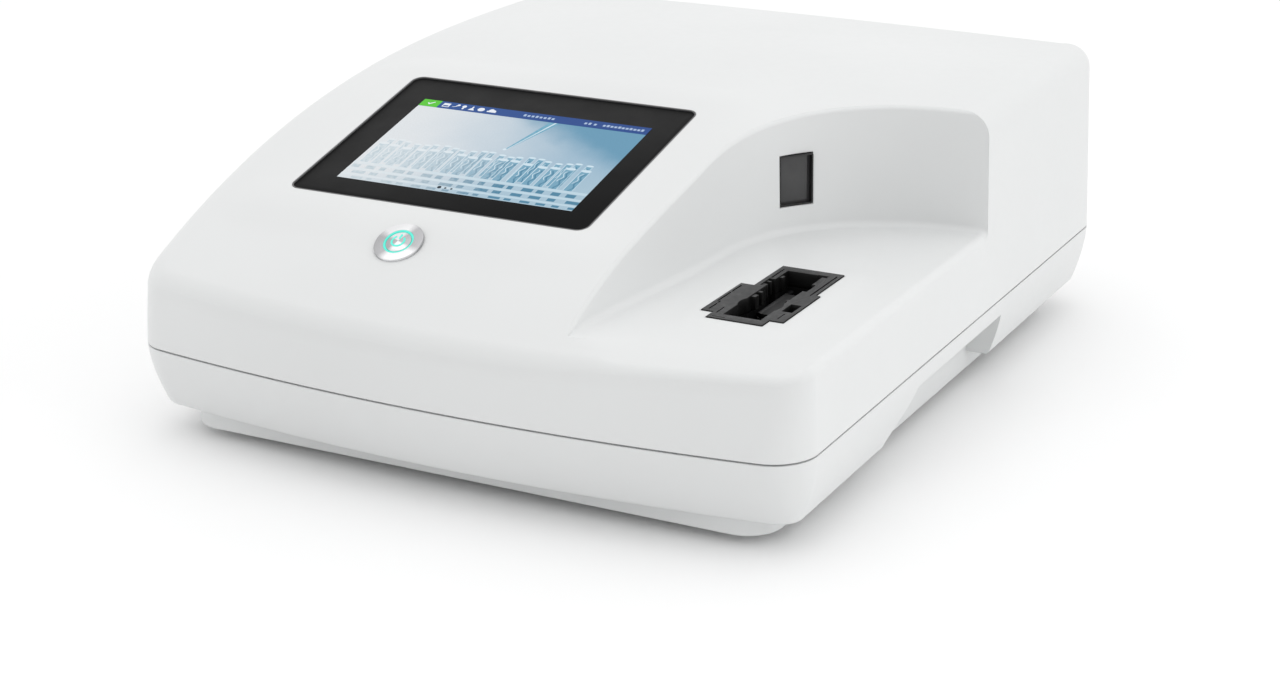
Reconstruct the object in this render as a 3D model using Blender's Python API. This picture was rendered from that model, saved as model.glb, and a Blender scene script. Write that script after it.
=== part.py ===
"""Bench spectrophotometer with a touch display, a push button and a cuvette recess.

All lengths below are in millimetres and are turned into metres when a mesh is made.
X runs to the operator's right, Y to the back and Z up. The origin is under the middle of the case,
on the surface that the instrument stands on.
"""
import math

import bmesh
import bpy
from mathutils import Matrix, Vector

MM = 0.001
GAP = 0.3

# ---- driving dimensions of the case ----
HALF_WIDTH = 145.0
HALF_DEPTH = 170.0
PARTING = 38.0            # height of the line between the upper and the lower housing
GROOVE = 0.7              # visible groove at the parting line
WALL = 3.0
TOP_RISE = 87.0           # rear top edge above the parting line
NOSE_DROP = 63.2          # how far the nose lies below the rear top edge
NOSE_RUN = 300.0          # depth over which the top curves down
REAR_SAG = 2.8            # the top falls by this much again towards the rear edge
BOW = 11.5                # the front face bulges forward by this much in plan
SIDE_TAPER = 2.0          # each side draws in by this much towards the back
CORNER_FRONT = 15.0
CORNER_REAR = 14.0
SIDE_DRAFT = math.tan(math.radians(2.0))
REAR_DRAFT = math.tan(math.radians(1.5))
FRONT_LEAN = 5.5          # the front face leans back by this much at CREASE_HEIGHT
CREASE_HEIGHT = 27.0
EDGE_SIDE = 10.0
EDGE_FRONT = 7.0
EDGE_REAR = 14.0

# ---- lower housing ----
SKIRT = 26.3              # height of the curved lower shell
SKIRT_IN_SIDE = 6.0
SKIRT_IN_FRONT = 9.0
SKIRT_IN_REAR = 13.0
PLINTH_HALF_WIDTH = 128.0
PLINTH_FRONT = -150.0
PLINTH_REAR = 146.0
FOOT_HEIGHT = 4.0
SKIRT_BOTTOM = PARTING - SKIRT
FLOOR_TOP = FOOT_HEIGHT + WALL

# ---- grips in both flanks ----
GRIP_TOP = PARTING - 8.0
GRIP_FRONT = -62.0
GRIP_REAR = 47.0

# ---- display ----
DISPLAY_TILT = math.radians(14.2)
DISPLAY_CENTRE = Vector((-37.0, -57.5, PARTING + 67.6))
DISPLAY_WIDTH = 135.3
DISPLAY_LENGTH = 98.6
DISPLAY_FADE = 26.0       # the flat field around the glass fades out over this distance
GLASS_THICKNESS = 2.0

# ---- power button ----
BUTTON_X = -38.0
BUTTON_Y = -127.1
BUTTON_TRAVEL = 1.5

# ---- cuvette recess ----
RECESS_FLOOR = PARTING + 32.8
RECESS_DRAFT = math.tan(math.radians(1.8))
WELL_X = 99.2             # middle of the cuvette slot and of the light beam
BEAM_Z = 48.0
SLOT_HALF = 7.6
SLOT_FRONT = -111.1
SLOT_REAR = -54.5
TUBE_Y = -95.0
TUBE_RADIUS = 8.6
INSERT_TOP = RECESS_FLOOR + 1.2
INSERT_BOTTOM = RECESS_FLOOR - 4.8
SHUTTER_FRONT = -84.0
PIN_X = 93.2              # hinge pin of the cuvette shutter

# ---- optics ----
BASE_TOP = 24.0
BENCH = BASE_TOP + GAP    # everything on the optics base stands at this height
LAMP = (-64.0, 100.0)
GRATING = (20.0, 50.0)
GEAR_DISTANCE = 24.0
GEAR_MODULE = 0.8
GEAR_TEETH = 50
PINION_TEETH = 10
WHEEL_X = -14.0
WHEEL_Y = 89.0
WHEEL_HOLES = 11.0        # radius of the circle of filter holes
FAN_CENTRE = (0.0, 149.0, 67.0)
USB_X = -90.0


# ---------------------------------------------------------------- general helpers
def remove_everything():
    for thing in list(bpy.data.objects):
        bpy.data.objects.remove(thing)


def material(name, colour, roughness, metallic=0.0):
    made = bpy.data.materials.new(name)
    made.use_nodes = True
    shader = made.node_tree.nodes["Principled BSDF"]
    shader.inputs["Base Color"].default_value = (*colour, 1.0)
    shader.inputs["Roughness"].default_value = roughness
    shader.inputs["Metallic"].default_value = metallic
    return made


def make_object(name, bm, mat=None, smooth=True):
    """Turns a bmesh in millimetres into an object in metres."""
    bmesh.ops.recalc_face_normals(bm, faces=bm.faces)
    bmesh.ops.scale(bm, vec=(MM, MM, MM), verts=bm.verts)
    mesh = bpy.data.meshes.new(name)
    bm.to_mesh(mesh)
    bm.free()
    thing = bpy.data.objects.new(name, mesh)
    bpy.context.scene.collection.objects.link(thing)
    if mat:
        mesh.materials.append(mat)
    if smooth:
        mesh.shade_smooth()
        mesh.set_sharp_from_angle(angle=math.radians(35))
    return thing


def combine(target, tools, operation):
    """Applies one Boolean after another and removes the tools."""
    for tool in tools:
        step = target.modifiers.new("step", "BOOLEAN")
        step.operation = operation
        step.solver = "EXACT"
        step.object = tool
        bpy.context.view_layer.update()
        graph = bpy.context.evaluated_depsgraph_get()
        result = bpy.data.meshes.new_from_object(target.evaluated_get(graph))
        target.modifiers.remove(step)
        target.data = result
        bpy.data.objects.remove(tool)
    target.data.shade_smooth()
    target.data.set_sharp_from_angle(angle=math.radians(35))
    return target


def cut(target, *tools):
    return combine(target, tools, "DIFFERENCE")


def add(target, *tools):
    return combine(target, tools, "UNION")


def box(name, low, high, mat=None):
    bm = bmesh.new()
    bmesh.ops.create_cube(bm, size=1.0)
    for vertex in bm.verts:
        for axis in range(3):
            side = high[axis] if vertex.co[axis] > 0 else low[axis]
            vertex.co[axis] = side
    return make_object(name, bm, mat)


def prism(name, outline, low, high, mat=None):
    """A plan outline raised from one height to another."""
    bm = bmesh.new()
    face = bm.faces.new([bm.verts.new((x, y, low)) for x, y in outline])
    grown = bmesh.ops.extrude_face_region(bm, geom=[face])
    risen = [item for item in grown["geom"] if isinstance(item, bmesh.types.BMVert)]
    bmesh.ops.translate(bm, verts=risen, vec=(0, 0, high - low))
    return make_object(name, bm, mat)


def turned(name, profile, mat=None, steps=24):
    """A solid of revolution about local Z from (radius, height) points; radius 0 closes it on the axis."""
    bm = bmesh.new()
    rings = []
    for radius, height in profile:
        if radius == 0:
            rings.append([bm.verts.new((0, 0, height))])
            continue
        ring = []
        for k in range(steps):
            angle = 2 * math.pi * k / steps
            ring.append(bm.verts.new((radius * math.cos(angle), radius * math.sin(angle), height)))
        rings.append(ring)
    closed = profile[0][0] != 0
    pairs = list(zip(rings, rings[1:]))
    if closed:
        pairs.append((rings[-1], rings[0]))
    for lower, upper in pairs:
        if lower[0].co.z == upper[0].co.z and 1 in (len(lower), len(upper)):
            bm.faces.new(max(lower, upper, key=len))
            continue
        for k in range(steps):
            after = (k + 1) % steps
            corners = [lower[k % len(lower)], lower[after % len(lower)],
                       upper[after % len(upper)], upper[k % len(upper)]]
            unique = list(dict.fromkeys(corners))
            if len(unique) > 2:
                bm.faces.new(unique)
    bmesh.ops.delete(bm, geom=[vertex for vertex in bm.verts if not vertex.link_faces], context="VERTS")
    return make_object(name, bm, mat)


def coil(name, radius, wire, low, high, turns, mat=None, steps=12, sides=6):
    """A helical spring about local Z with closed wire ends."""
    bm = bmesh.new()
    total = int(turns * steps)
    rings = []
    for k in range(total + 1):
        angle = 2 * math.pi * k / steps
        height = low + (high - low) * k / total
        outward = Vector((math.cos(angle), math.sin(angle), 0))
        ring = []
        for s in range(sides):
            around = 2 * math.pi * s / sides
            reach = radius + wire * math.cos(around)
            ring.append(bm.verts.new(outward * reach + Vector((0, 0, height + wire * math.sin(around)))))
        rings.append(ring)
    for first, second in zip(rings, rings[1:]):
        for s in range(sides):
            t = (s + 1) % sides
            bm.faces.new((first[s], first[t], second[t], second[s]))
    bm.faces.new(rings[0])
    bm.faces.new(rings[-1])
    return make_object(name, bm, mat)


def bake_place(thing, matrix):
    """Moves the mesh itself, so that the object keeps its origin."""
    place = matrix.copy()
    place.translation = matrix.translation * MM
    thing.data.transform(place)
    return thing


AXIS_TURN = {
    "x": Matrix.Rotation(math.radians(90), 4, "Y"),
    "y": Matrix.Rotation(math.radians(-90), 4, "X"),
    "z": Matrix.Identity(4),
}


def placed(thing, at, axis="z", turn=0.0):
    """Puts a turned solid at a point, with its local Z along a row axis."""
    spin = Matrix.Rotation(turn, 4, "Z")
    return bake_place(thing, Matrix.Translation(at) @ spin @ AXIS_TURN[axis])


def rod(name, at, axis, radius, low, high, mat=None, steps=16):
    solid = turned(name, [(0, low), (radius, low), (radius, high), (0, high)], mat, steps)
    return placed(solid, at, axis)


def set_origin(thing, point):
    """Moves an object's origin to a point on its joint axis without moving its mesh."""
    offset = Vector(point) * MM
    thing.data.transform(Matrix.Translation(-offset))
    thing.location = offset
    return thing


# ---------------------------------------------------------------- shape of the case
def blend(value):
    """Smooth step from 0 to 1."""
    value = min(max(value, 0.0), 1.0)
    return value * value * (3 - 2 * value)


def display_plane(x, y):
    return DISPLAY_CENTRE.z + (y - DISPLAY_CENTRE.y) * math.tan(DISPLAY_TILT)


def top_height(x, y):
    """Height of the top skin: a curve that flattens towards the back, with a flat field for the display."""
    depth = y + HALF_DEPTH
    fall = NOSE_DROP * max(0.0, 1 - depth / NOSE_RUN) ** 3
    level = 0.95 * blend((x - 10.0) / 100.0) * blend((-60.0 - y) / 60.0)
    crown = (1.0 + 3.5 * (1 - depth / (2 * HALF_DEPTH)) * (1 - level)) * (x / HALF_WIDTH) ** 2
    sag = REAR_SAG * (max(y, 0.0) / HALF_DEPTH) ** 2
    height = PARTING + TOP_RISE - fall - crown - sag
    outside_x = max(0.0, abs(x - DISPLAY_CENTRE.x) - DISPLAY_WIDTH / 2 - 2)
    outside_y = max(0.0, abs(y - DISPLAY_CENTRE.y) - DISPLAY_LENGTH / 2 + 1)
    away = math.hypot(outside_x, outside_y) / DISPLAY_FADE
    flatness = 1 - blend(away)
    return height + (display_plane(x, y) - height) * flatness


def case_outline(front_steps=8, corner_steps=5, side_steps=9):
    """The case in plan at the parting line, counter-clockwise from the front left, as (point, outward normal)."""
    def half_width(y):
        return HALF_WIDTH - SIDE_TAPER * (y + HALF_DEPTH) / (2 * HALF_DEPTH)

    def front_y(x):
        return -HALF_DEPTH + BOW * (x / HALF_WIDTH) ** 2

    def corner(start, apex, end):
        points = []
        weight = math.sqrt(0.5)
        for k in range(1, corner_steps):
            t = k / corner_steps
            a, b, c = (1 - t) ** 2, 2 * weight * t * (1 - t), t * t
            points.append((start * a + apex * b + end * c) / (a + b + c))
        return points

    reach = HALF_WIDTH - CORNER_FRONT
    front = [Vector((x, front_y(x))) for x in
             (-reach + 2 * reach * k / front_steps for k in range(front_steps + 1))]
    apex = Vector((HALF_WIDTH, front_y(HALF_WIDTH)))
    side_low = apex.y + CORNER_FRONT
    side_high = HALF_DEPTH - CORNER_REAR
    right = []
    for k in range(side_steps + 1):
        y = side_low + (side_high - side_low) * k / side_steps
        right.append(Vector((half_width(y), y)))
    rear_apex = Vector((half_width(HALF_DEPTH), HALF_DEPTH))
    rear_right = Vector((rear_apex.x - CORNER_REAR, HALF_DEPTH))
    half = corner(front[-1], apex, right[0]) + right + corner(right[-1], rear_apex, rear_right) + [rear_right]
    mirrored = [Vector((-p.x, p.y)) for p in reversed(half)]
    points = front + half + mirrored
    count = len(points)
    result = []
    for k, point in enumerate(points):
        along = (points[(k + 1) % count] - points[k]).normalized()
        along += (points[k] - points[k - 1]).normalized()
        result.append((point, Vector((along.y, -along.x)).normalized()))
    return result


def wall_inset(normal, height):
    """How far the upper wall stands back from the parting line outline at a height above it."""
    front = max(-normal.y, 0.0) ** 2
    rear = max(normal.y, 0.0) ** 2
    lean = FRONT_LEAN * (max(height, 0.0) / CREASE_HEIGHT) ** 1.7
    return front * lean + normal.x ** 2 * SIDE_DRAFT * height + rear * REAR_DRAFT * height


def edge_radius(normal, inset):
    front = max(-normal.y, 0.0) ** 2
    rear = max(normal.y, 0.0) ** 2
    return front * EDGE_FRONT + rear * EDGE_REAR + normal.x ** 2 * EDGE_SIDE - inset * 0.5


def stack_rings(bm, rings):
    for lower, upper in zip(rings, rings[1:]):
        for k in range(len(lower)):
            after = (k + 1) % len(lower)
            bm.faces.new((lower[k], lower[after], upper[after], upper[k]))


def upper_form(name, inset, bottom, mat=None):
    """The closed outer form of the upper housing, or its inner form when inset is the wall thickness."""
    outline = case_outline()
    bm = bmesh.new()
    rings = []
    for share in (0.0, 0.5, 1.0):
        ring = []
        for point, normal in outline:
            radius = edge_radius(normal, inset)
            crest = top_height(point.x, point.y) - inset - radius
            height = bottom + (crest - bottom) * share
            place = point - normal * (inset + wall_inset(normal, max(height - PARTING, 0.0)))
            ring.append(bm.verts.new((place.x, place.y, height)))
        rings.append(ring)
    for angle in (30, 60, 90):
        ring = []
        for point, normal in outline:
            radius = edge_radius(normal, inset)
            crest = top_height(point.x, point.y) - inset - radius
            back = inset + wall_inset(normal, max(crest - PARTING, 0.0))
            back += radius * (1 - math.cos(math.radians(angle)))
            place = point - normal * back
            drop = radius * (1 - math.sin(math.radians(angle)))
            ring.append(bm.verts.new((place.x, place.y, top_height(place.x, place.y) - inset - drop)))
        rings.append(ring)
    stack_rings(bm, rings)
    bm.faces.new(rings[0])
    lid = bm.faces.new(rings[-1])
    split_lid(bm, lid, inset)
    return make_object(name, bm, mat)


def split_lid(bm, lid, inset):
    """Divides the lid into a grid and lays it on the curved top skin."""
    faces = [lid]
    lines_y = [-HALF_DEPTH + 22 * k for k in range(1, 15)]
    lines_x = [-118, -104, -70, -37, 0, 30, 46, 80, 115]
    for normal, stops in (((0, 1, 0), lines_y), ((1, 0, 0), lines_x)):
        for stop in stops:
            geometry = set(faces)
            for face in faces:
                geometry.update(face.edges)
                geometry.update(face.verts)
            split = bmesh.ops.bisect_plane(
                bm, geom=list(geometry), plane_co=Vector(normal) * stop, plane_no=normal)
            faces = [item for item in split["geom"] if isinstance(item, bmesh.types.BMFace)]
    for face in faces:
        for vertex in face.verts:
            vertex.co.z = top_height(vertex.co.x, vertex.co.y) - inset


def skirt_inset(normal, depth):
    """How far the lower shell stands in at a depth below the parting line."""
    share = (depth / SKIRT) ** 1.7
    front = max(-normal.y, 0.0) ** 2
    rear = max(normal.y, 0.0) ** 2
    return share * (front * SKIRT_IN_FRONT + rear * SKIRT_IN_REAR + normal.x ** 2 * SKIRT_IN_SIDE)


def skirt_form(name, inset, top, bottom, mat=None):
    """The closed form of the curved lower shell between two heights."""
    outline = case_outline()
    bm = bmesh.new()
    rings = []
    levels = 6
    for k in range(levels + 1):
        height = bottom + (top - bottom) * k / levels
        ring = []
        for point, normal in outline:
            back = inset + skirt_inset(normal, max(PARTING - height, 0.0))
            place = point - normal * back
            ring.append(bm.verts.new((place.x, place.y, height)))
        rings.append(ring)
    stack_rings(bm, rings)
    bm.faces.new(rings[0])
    bm.faces.new(rings[-1])
    return make_object(name, bm, mat)


def rounded_rectangle(half_x, low_y, high_y, radius, steps=4):
    points = []
    corners = ((half_x, low_y, -90), (half_x, high_y, 0), (-half_x, high_y, 90), (-half_x, low_y, 180))
    for x, y, start in corners:
        middle_x = x - math.copysign(radius, x)
        middle_y = y + radius if y == low_y else y - radius
        for k in range(steps + 1):
            angle = math.radians(start + 90 * k / steps)
            points.append((middle_x + radius * math.cos(angle), middle_y + radius * math.sin(angle)))
    return points


def recess_outline(grow, height):
    """Plan of the cuvette recess at a height above its floor, grown outwards on the wall side."""
    centre_y = -55.0
    reach_x, reach_y = 87.0, 82.5
    squareness = 2 / 2.3
    curve = [Vector((51.0, -200.0)), Vector((51.0, -150.0)), Vector((54.5, -102.0))]
    steps = 10
    for k in range(steps + 1):
        angle = math.pi / 2 * k / steps
        curve.append(Vector((145.0 - reach_x * math.cos(angle) ** squareness,
                             centre_y + reach_y * math.sin(angle) ** squareness)))
    curve.append(Vector((170.0, centre_y + reach_y)))
    shift = grow + RECESS_DRAFT * height
    moved = []
    for k, point in enumerate(curve):
        before = curve[max(k - 1, 0)]
        after = curve[min(k + 1, len(curve) - 1)]
        along = (after - before).normalized()
        moved.append(point + Vector((-along.y, along.x)) * shift)
    moved.append(Vector((170.0, -200.0)))
    return moved


def recess_tool(name, grow, floor):
    """A cutter for the recess, whose wall leans back as it rises."""
    bm = bmesh.new()
    rings = []
    for height in (floor, PARTING + 2 * TOP_RISE):
        outline = recess_outline(grow, height - RECESS_FLOOR)
        rings.append([bm.verts.new((p.x, p.y, height)) for p in outline])
    stack_rings(bm, rings)
    bm.faces.new(rings[0])
    bm.faces.new(rings[-1])
    return make_object(name, bm)


def on_display(thing):
    """Moves a solid from the display's own frame, with its glass at local Z 0, into the case."""
    return bake_place(thing, Matrix.Translation(DISPLAY_CENTRE) @ Matrix.Rotation(DISPLAY_TILT, 4, "X"))


def display_box(name, half_x, half_y, low, high, mat=None):
    return on_display(box(name, (-half_x, -half_y, low), (half_x, half_y, high), mat))


def button_place():
    """Frame on the top skin at the power button, with Z along the skin's normal."""
    step = 0.5
    slope_x = (top_height(BUTTON_X + step, BUTTON_Y) - top_height(BUTTON_X - step, BUTTON_Y)) / (2 * step)
    slope_y = (top_height(BUTTON_X, BUTTON_Y + step) - top_height(BUTTON_X, BUTTON_Y - step)) / (2 * step)
    normal = Vector((-slope_x, -slope_y, 1.0)).normalized()
    at = Vector((BUTTON_X, BUTTON_Y, top_height(BUTTON_X, BUTTON_Y)))
    return Matrix.Translation(at) @ normal.to_track_quat("Z", "Y").to_matrix().to_4x4()


def on_button(thing):
    return bake_place(thing, button_place())


WINDOW_CENTRE = Vector((71.6, -4.0, PARTING + 54.6))
WINDOW_FACING = Vector((0.77, -0.64, 0.0)).normalized()


def on_window(thing):
    """Moves a solid so that its local Z looks out of the barcode window and its local Y points up."""
    side = Vector((0, 0, 1)).cross(WINDOW_FACING).normalized()
    turn = Matrix((side, Vector((0, 0, 1)), WINDOW_FACING)).transposed().to_4x4()
    return bake_place(thing, Matrix.Translation(WINDOW_CENTRE) @ turn)


# ---------------------------------------------------------------- casing
SCREW_PLACES = [(-112.0, -126.0), (120.0, -130.0), (-112.0, 130.0), (112.0, 130.0)]
FOOT_PLACES = [(-104.0, -104.0), (104.0, -104.0), (-104.0, 112.0), (104.0, 112.0)]
POST_PLACES = [(-119.0, -105.0), (-98.0, -105.0), (-119.0, 60.0), (-98.0, 60.0)]
INSERT_OUTLINE = [(86.9, -116.0), (109.6, -116.0), (109.6, -109.7), (115.1, -109.7), (115.1, -76.6),
                  (113.2, -76.6), (113.2, -49.8), (87.3, -49.8), (87.3, -75.8), (81.8, -75.8),
                  (81.8, -109.7), (86.9, -109.7)]


def grown(outline, margin):
    """Moves each side of a right-angled outline outwards by the margin."""
    result = []
    for k, (x, y) in enumerate(outline):
        before = Vector(outline[k]) - Vector(outline[k - 1])
        after = Vector(outline[(k + 1) % len(outline)]) - Vector(outline[k])
        out_before = Vector((before.y, -before.x)).normalized()
        out_after = Vector((after.y, -after.x)).normalized()
        shift = (out_before + out_after) * margin
        result.append((x + shift.x, y + shift.y))
    return result


def build_upper_housing(mat):
    housing = upper_form("upper_housing", 0.0, PARTING + GROOVE / 2, mat)
    hollow = upper_form("hollow", WALL, PARTING - 6)
    keep = [recess_tool("keep_recess", WALL, RECESS_FLOOR - WALL)]
    keep.append(display_box("keep_display", DISPLAY_WIDTH / 2 + 4, DISPLAY_LENGTH / 2 + 4, -5.0, 30.0))
    for x, y in SCREW_PLACES:
        keep.append(rod("keep_boss", (x, y, 0), "z", 4.5, PARTING + GAP, 160))
    cut(hollow, *keep)
    tools = [recess_tool("recess", 0.0, RECESS_FLOOR), hollow]
    tools.append(display_box("glass_seat", DISPLAY_WIDTH / 2 + GAP, DISPLAY_LENGTH / 2 + GAP,
                             -GLASS_THICKNESS - GAP, 30.0))
    tools.append(display_box("display_opening", 62.0, 43.0, -20.0, 1.0))
    tools.append(on_button(turned("button_hole", [(0, -12), (8.1, -12), (8.1, 12), (0, 12)])))
    tools.append(prism("insert_hole", grown(INSERT_OUTLINE, GAP), RECESS_FLOOR - 12, RECESS_FLOOR + 2))
    tools.append(on_window(box("window_hole", (-7.8, -10.8, -12.0), (7.8, 10.8, 8.0))))
    for k in range(8):
        x = -17.5 + 5 * k
        tools.append(box("vent", (x - 1.3, 155.0, 50.0), (x + 1.3, 175.0, 84.0)))
    for x, y in SCREW_PLACES:
        tools.append(rod("pilot", (x, y, 0), "z", 1.9, PARTING - 2, PARTING + 12, steps=12))
    return cut(housing, *tools)


def grip_tool(name, side, margin, inner):
    """A cutter for one grip: an S-curved front end, a straight ceiling and an upright rear end."""
    rise = GRIP_TOP - SKIRT_BOTTOM
    outline = [(GRIP_FRONT - 8 - margin, -5.0), (GRIP_FRONT - 8 - margin, SKIRT_BOTTOM)]
    steps = 6
    for k in range(1, steps + 1):
        share = k / steps
        outline.append((GRIP_FRONT - 8 - margin + 24 * blend(share) ** 0.7 * share ** 0.3,
                        SKIRT_BOTTOM + (rise + margin) * share))
    outline += [(GRIP_REAR + margin, GRIP_TOP + margin), (GRIP_REAR + margin, -5.0)]
    bm = bmesh.new()
    face = bm.faces.new([bm.verts.new((side * inner, y, z)) for y, z in outline])
    risen = bmesh.ops.extrude_face_region(bm, geom=[face])["geom"]
    verts = [item for item in risen if isinstance(item, bmesh.types.BMVert)]
    bmesh.ops.translate(bm, verts=verts, vec=(side * (160 - inner), 0, 0))
    return make_object(name, bm)


def build_lower_housing(mat):
    housing = skirt_form("lower_housing", 0.0, PARTING - GROOVE / 2, SKIRT_BOTTOM, mat)
    plinth = prism("plinth", rounded_rectangle(PLINTH_HALF_WIDTH, PLINTH_FRONT, PLINTH_REAR, 14),
                   FOOT_HEIGHT, SKIRT_BOTTOM + 1)
    tongue = skirt_form("tongue", WALL + GAP + 0.6, PARTING + 2.5, SKIRT_BOTTOM + 2)
    add(housing, plinth, tongue)
    hollow = skirt_form("hollow", WALL + GAP + 1.9, PARTING + 6, SKIRT_BOTTOM + WALL)
    pit = prism("pit", rounded_rectangle(PLINTH_HALF_WIDTH - WALL, PLINTH_FRONT + WALL, PLINTH_REAR - WALL, 11),
                FLOOR_TOP, SKIRT_BOTTOM + WALL + 1)
    add(hollow, pit)
    keep = [grip_tool("keep_grip", side, WALL, PLINTH_HALF_WIDTH - WALL) for side in (-1, 1)]
    keep.append(box("keep_panel", (-137.0, 160.0, 9.0), (-47.0, 172.0, 48.0)))
    for x, y in SCREW_PLACES:
        keep.append(rod("keep_boss", (x, y, 0), "z", 6.0, 0, PARTING - GAP))
    for x, y in POST_PLACES:
        keep.append(rod("keep_post", (x, y, 0), "z", 3.0, 0, 19.7, steps=12))
    cut(hollow, *keep)
    tools = [hollow]
    tools += [grip_tool("grip", side, 0.0, PLINTH_HALF_WIDTH) for side in (-1, 1)]
    tools.append(box("panel_opening", (-128.0, 155.0, 19.0), (-51.5, 176.0, PARTING - 2)))
    tools.append(box("panel_seat", (-130.3, 150.0, 17.0), (-48.7, 160.0, PARTING - 1.2)))
    for x, y in SCREW_PLACES:
        tools.append(rod("counterbore", (x, y, 0), "z", 4.0, 0, 24.0))
        tools.append(rod("screw_hole", (x, y, 0), "z", 1.9, 20, 60, steps=12))
    for x, y in FOOT_PLACES:
        tools.append(rod("foot_hole", (x, y, 0), "z", 2.8, 0, 12, steps=12))
    for k in range(8):
        x = -28 + 8 * k
        tools.append(box("intake", (x - 1.5, -126.0, 0.0), (x + 1.5, -90.0, 12.0)))
    return cut(housing, *tools)


def build_rear_panel(mat):
    panel = box("rear_panel", (-130.0, 157.4, 17.3), (-49.0, 159.7, PARTING - 1.5), mat)
    holes = [rod("jack_hole", (-118.0, 158.5, 27.6), "y", 5.3, -6, 6)]
    holes.append(box("usb_hole", (USB_X - 7.1, 150, 21.4), (USB_X + 7.1, 165, 28.8)))
    holes.append(box("lan_hole", (-69.0, 150, 21.4), (-52.4, 165, 35.6)))
    return cut(panel, *holes)


def build_feet(mat):
    for side, row, (x, y) in zip(("left", "right") * 2, ("front", "front", "rear", "rear"), FOOT_PLACES):
        profile = [(0, 0), (8.6, 0), (9.4, 0.8), (9.4, FOOT_HEIGHT - GAP), (2.5, FOOT_HEIGHT - GAP),
                   (2.5, FLOOR_TOP + 1.5), (0, FLOOR_TOP + 1.5)]
        placed(turned(f"foot_{row}_{side}", profile, mat), (x, y, 0))


def build_housing_screws(mat):
    for side, row, (x, y) in zip(("left", "right") * 2, ("front", "front", "rear", "rear"), SCREW_PLACES):
        profile = [(0, 21.0), (2.9, 21.0), (2.9, 23.7), (1.5, 23.7), (1.5, 47.0), (0, 47.8)]
        screw = turned(f"housing_screw_{row}_{side}", profile, mat, 16)
        recess = turned("drive", [(0, 20.5), (1.3, 20.5), (1.3, 22.2), (0, 22.2)], steps=6)
        cut(screw, recess)
        placed(screw, (x, y, 0))


# ---------------------------------------------------------------- display
def build_display(glass_mat, panel_mat, metal_mat):
    outline = rounded_rectangle(DISPLAY_WIDTH / 2, -DISPLAY_LENGTH / 2, DISPLAY_LENGTH / 2, 4.5)
    on_display(prism("display_glass", outline, -GLASS_THICKNESS, 0.0, glass_mat))
    display_box("lcd_module", 60.0, 38.5, -7.6, -GLASS_THICKNESS - GAP, panel_mat)
    bracket = display_box("display_bracket", 71.0, 52.5, -9.6, -5.3, metal_mat)
    tray = display_box("tray", 60.4, 38.9, -7.9, 0.0)
    window = display_box("window", 30.0, 20.0, -12.0, 0.0)
    cut(bracket, tray, window)


def build_display_cable(mat):
    """A flat cable from the main board to the back of the display, folded in a soft S."""
    start = Vector((-8.0, 22.3))
    end = Vector((-58.0, display_plane(0, -58.0) - 10.6))
    start_pull = start + Vector((26.0, 8.0))
    end_pull = end + Vector((26.0, -2.0))
    route = []
    steps = 14
    half = 0.2
    for k in range(steps + 1):
        t = k / steps
        point = start * (1 - t) ** 3 + start_pull * 3 * t * (1 - t) ** 2
        route.append(point + end_pull * 3 * t * t * (1 - t) + end * t ** 3)
    upper, lower = [], []
    for k, point in enumerate(route):
        along = (route[min(k + 1, steps)] - route[max(k - 1, 0)]).normalized()
        across = Vector((-along.y, along.x)) * half
        upper.append(point + across)
        lower.append(point - across)
    outline = upper + lower[::-1]
    bm = bmesh.new()
    face = bm.faces.new([bm.verts.new((-104.0, p.x, p.y)) for p in outline])
    risen = bmesh.ops.extrude_face_region(bm, geom=[face])["geom"]
    verts = [item for item in risen if isinstance(item, bmesh.types.BMVert)]
    bmesh.ops.translate(bm, verts=verts, vec=(8.0, 0, 0))
    return make_object("display_cable", bm, mat)


# ---------------------------------------------------------------- power button
def build_button(steel, light, plastic, spring_mat):
    body = [(6.7, -2.9), (6.7, 1.35), (9.0, 1.35), (10.0, 0.9), (10.0, 0.35), (7.8, 0.35), (7.8, -13.0),
            (5.5, -13.0), (5.5, -2.9)]
    on_button(turned("button_body", body, steel, 40))
    ring = [(5.45, -2.6), (6.4, -2.6), (6.4, 1.2), (5.9, 1.35), (5.45, 1.35)]
    on_button(turned("button_light_ring", ring, light, 40))
    cap = [(0, -9.0), (2.0, -9.0), (2.0, -1.9), (5.15, -1.9), (5.15, 1.2), (3.5, 1.55), (0, 1.7)]
    cap = on_button(turned("button_cap", cap, steel, 32))
    nut = turned("button_nut", [(0, -7.4), (11.0, -7.4), (11.0, -4.6), (0, -4.6)], steel, 6)
    cut(nut, turned("bore", [(0, -9), (8.1, -9), (8.1, -2), (0, -2)], steps=24))
    on_button(nut)
    switch = [(0, -24.0), (5.1, -24.0), (5.1, -10.8), (2.6, -10.8), (2.6, -11.6), (0, -11.6)]
    on_button(turned("button_switch", switch, plastic, 20))
    on_button(coil("button_spring", 3.1, 0.35, -10.2, -2.5, 4, spring_mat))
    set_origin(cap, button_place().translation)


# ---------------------------------------------------------------- cuvette section
def slot_tools(low, high):
    """Cutters for the cuvette slot: the long slot, the round tube seat and the two spring recesses."""
    tools = [box("slot", (WELL_X - SLOT_HALF, SLOT_FRONT, low), (WELL_X + SLOT_HALF, SLOT_REAR, high))]
    tools.append(rod("tube_seat", (WELL_X, TUBE_Y, 0), "z", TUBE_RADIUS, low, high, steps=24))
    tools.append(box("recess", (WELL_X - 10.1, -74.4, low), (WELL_X + 9.3, -66.0, high)))
    return tools


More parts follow.
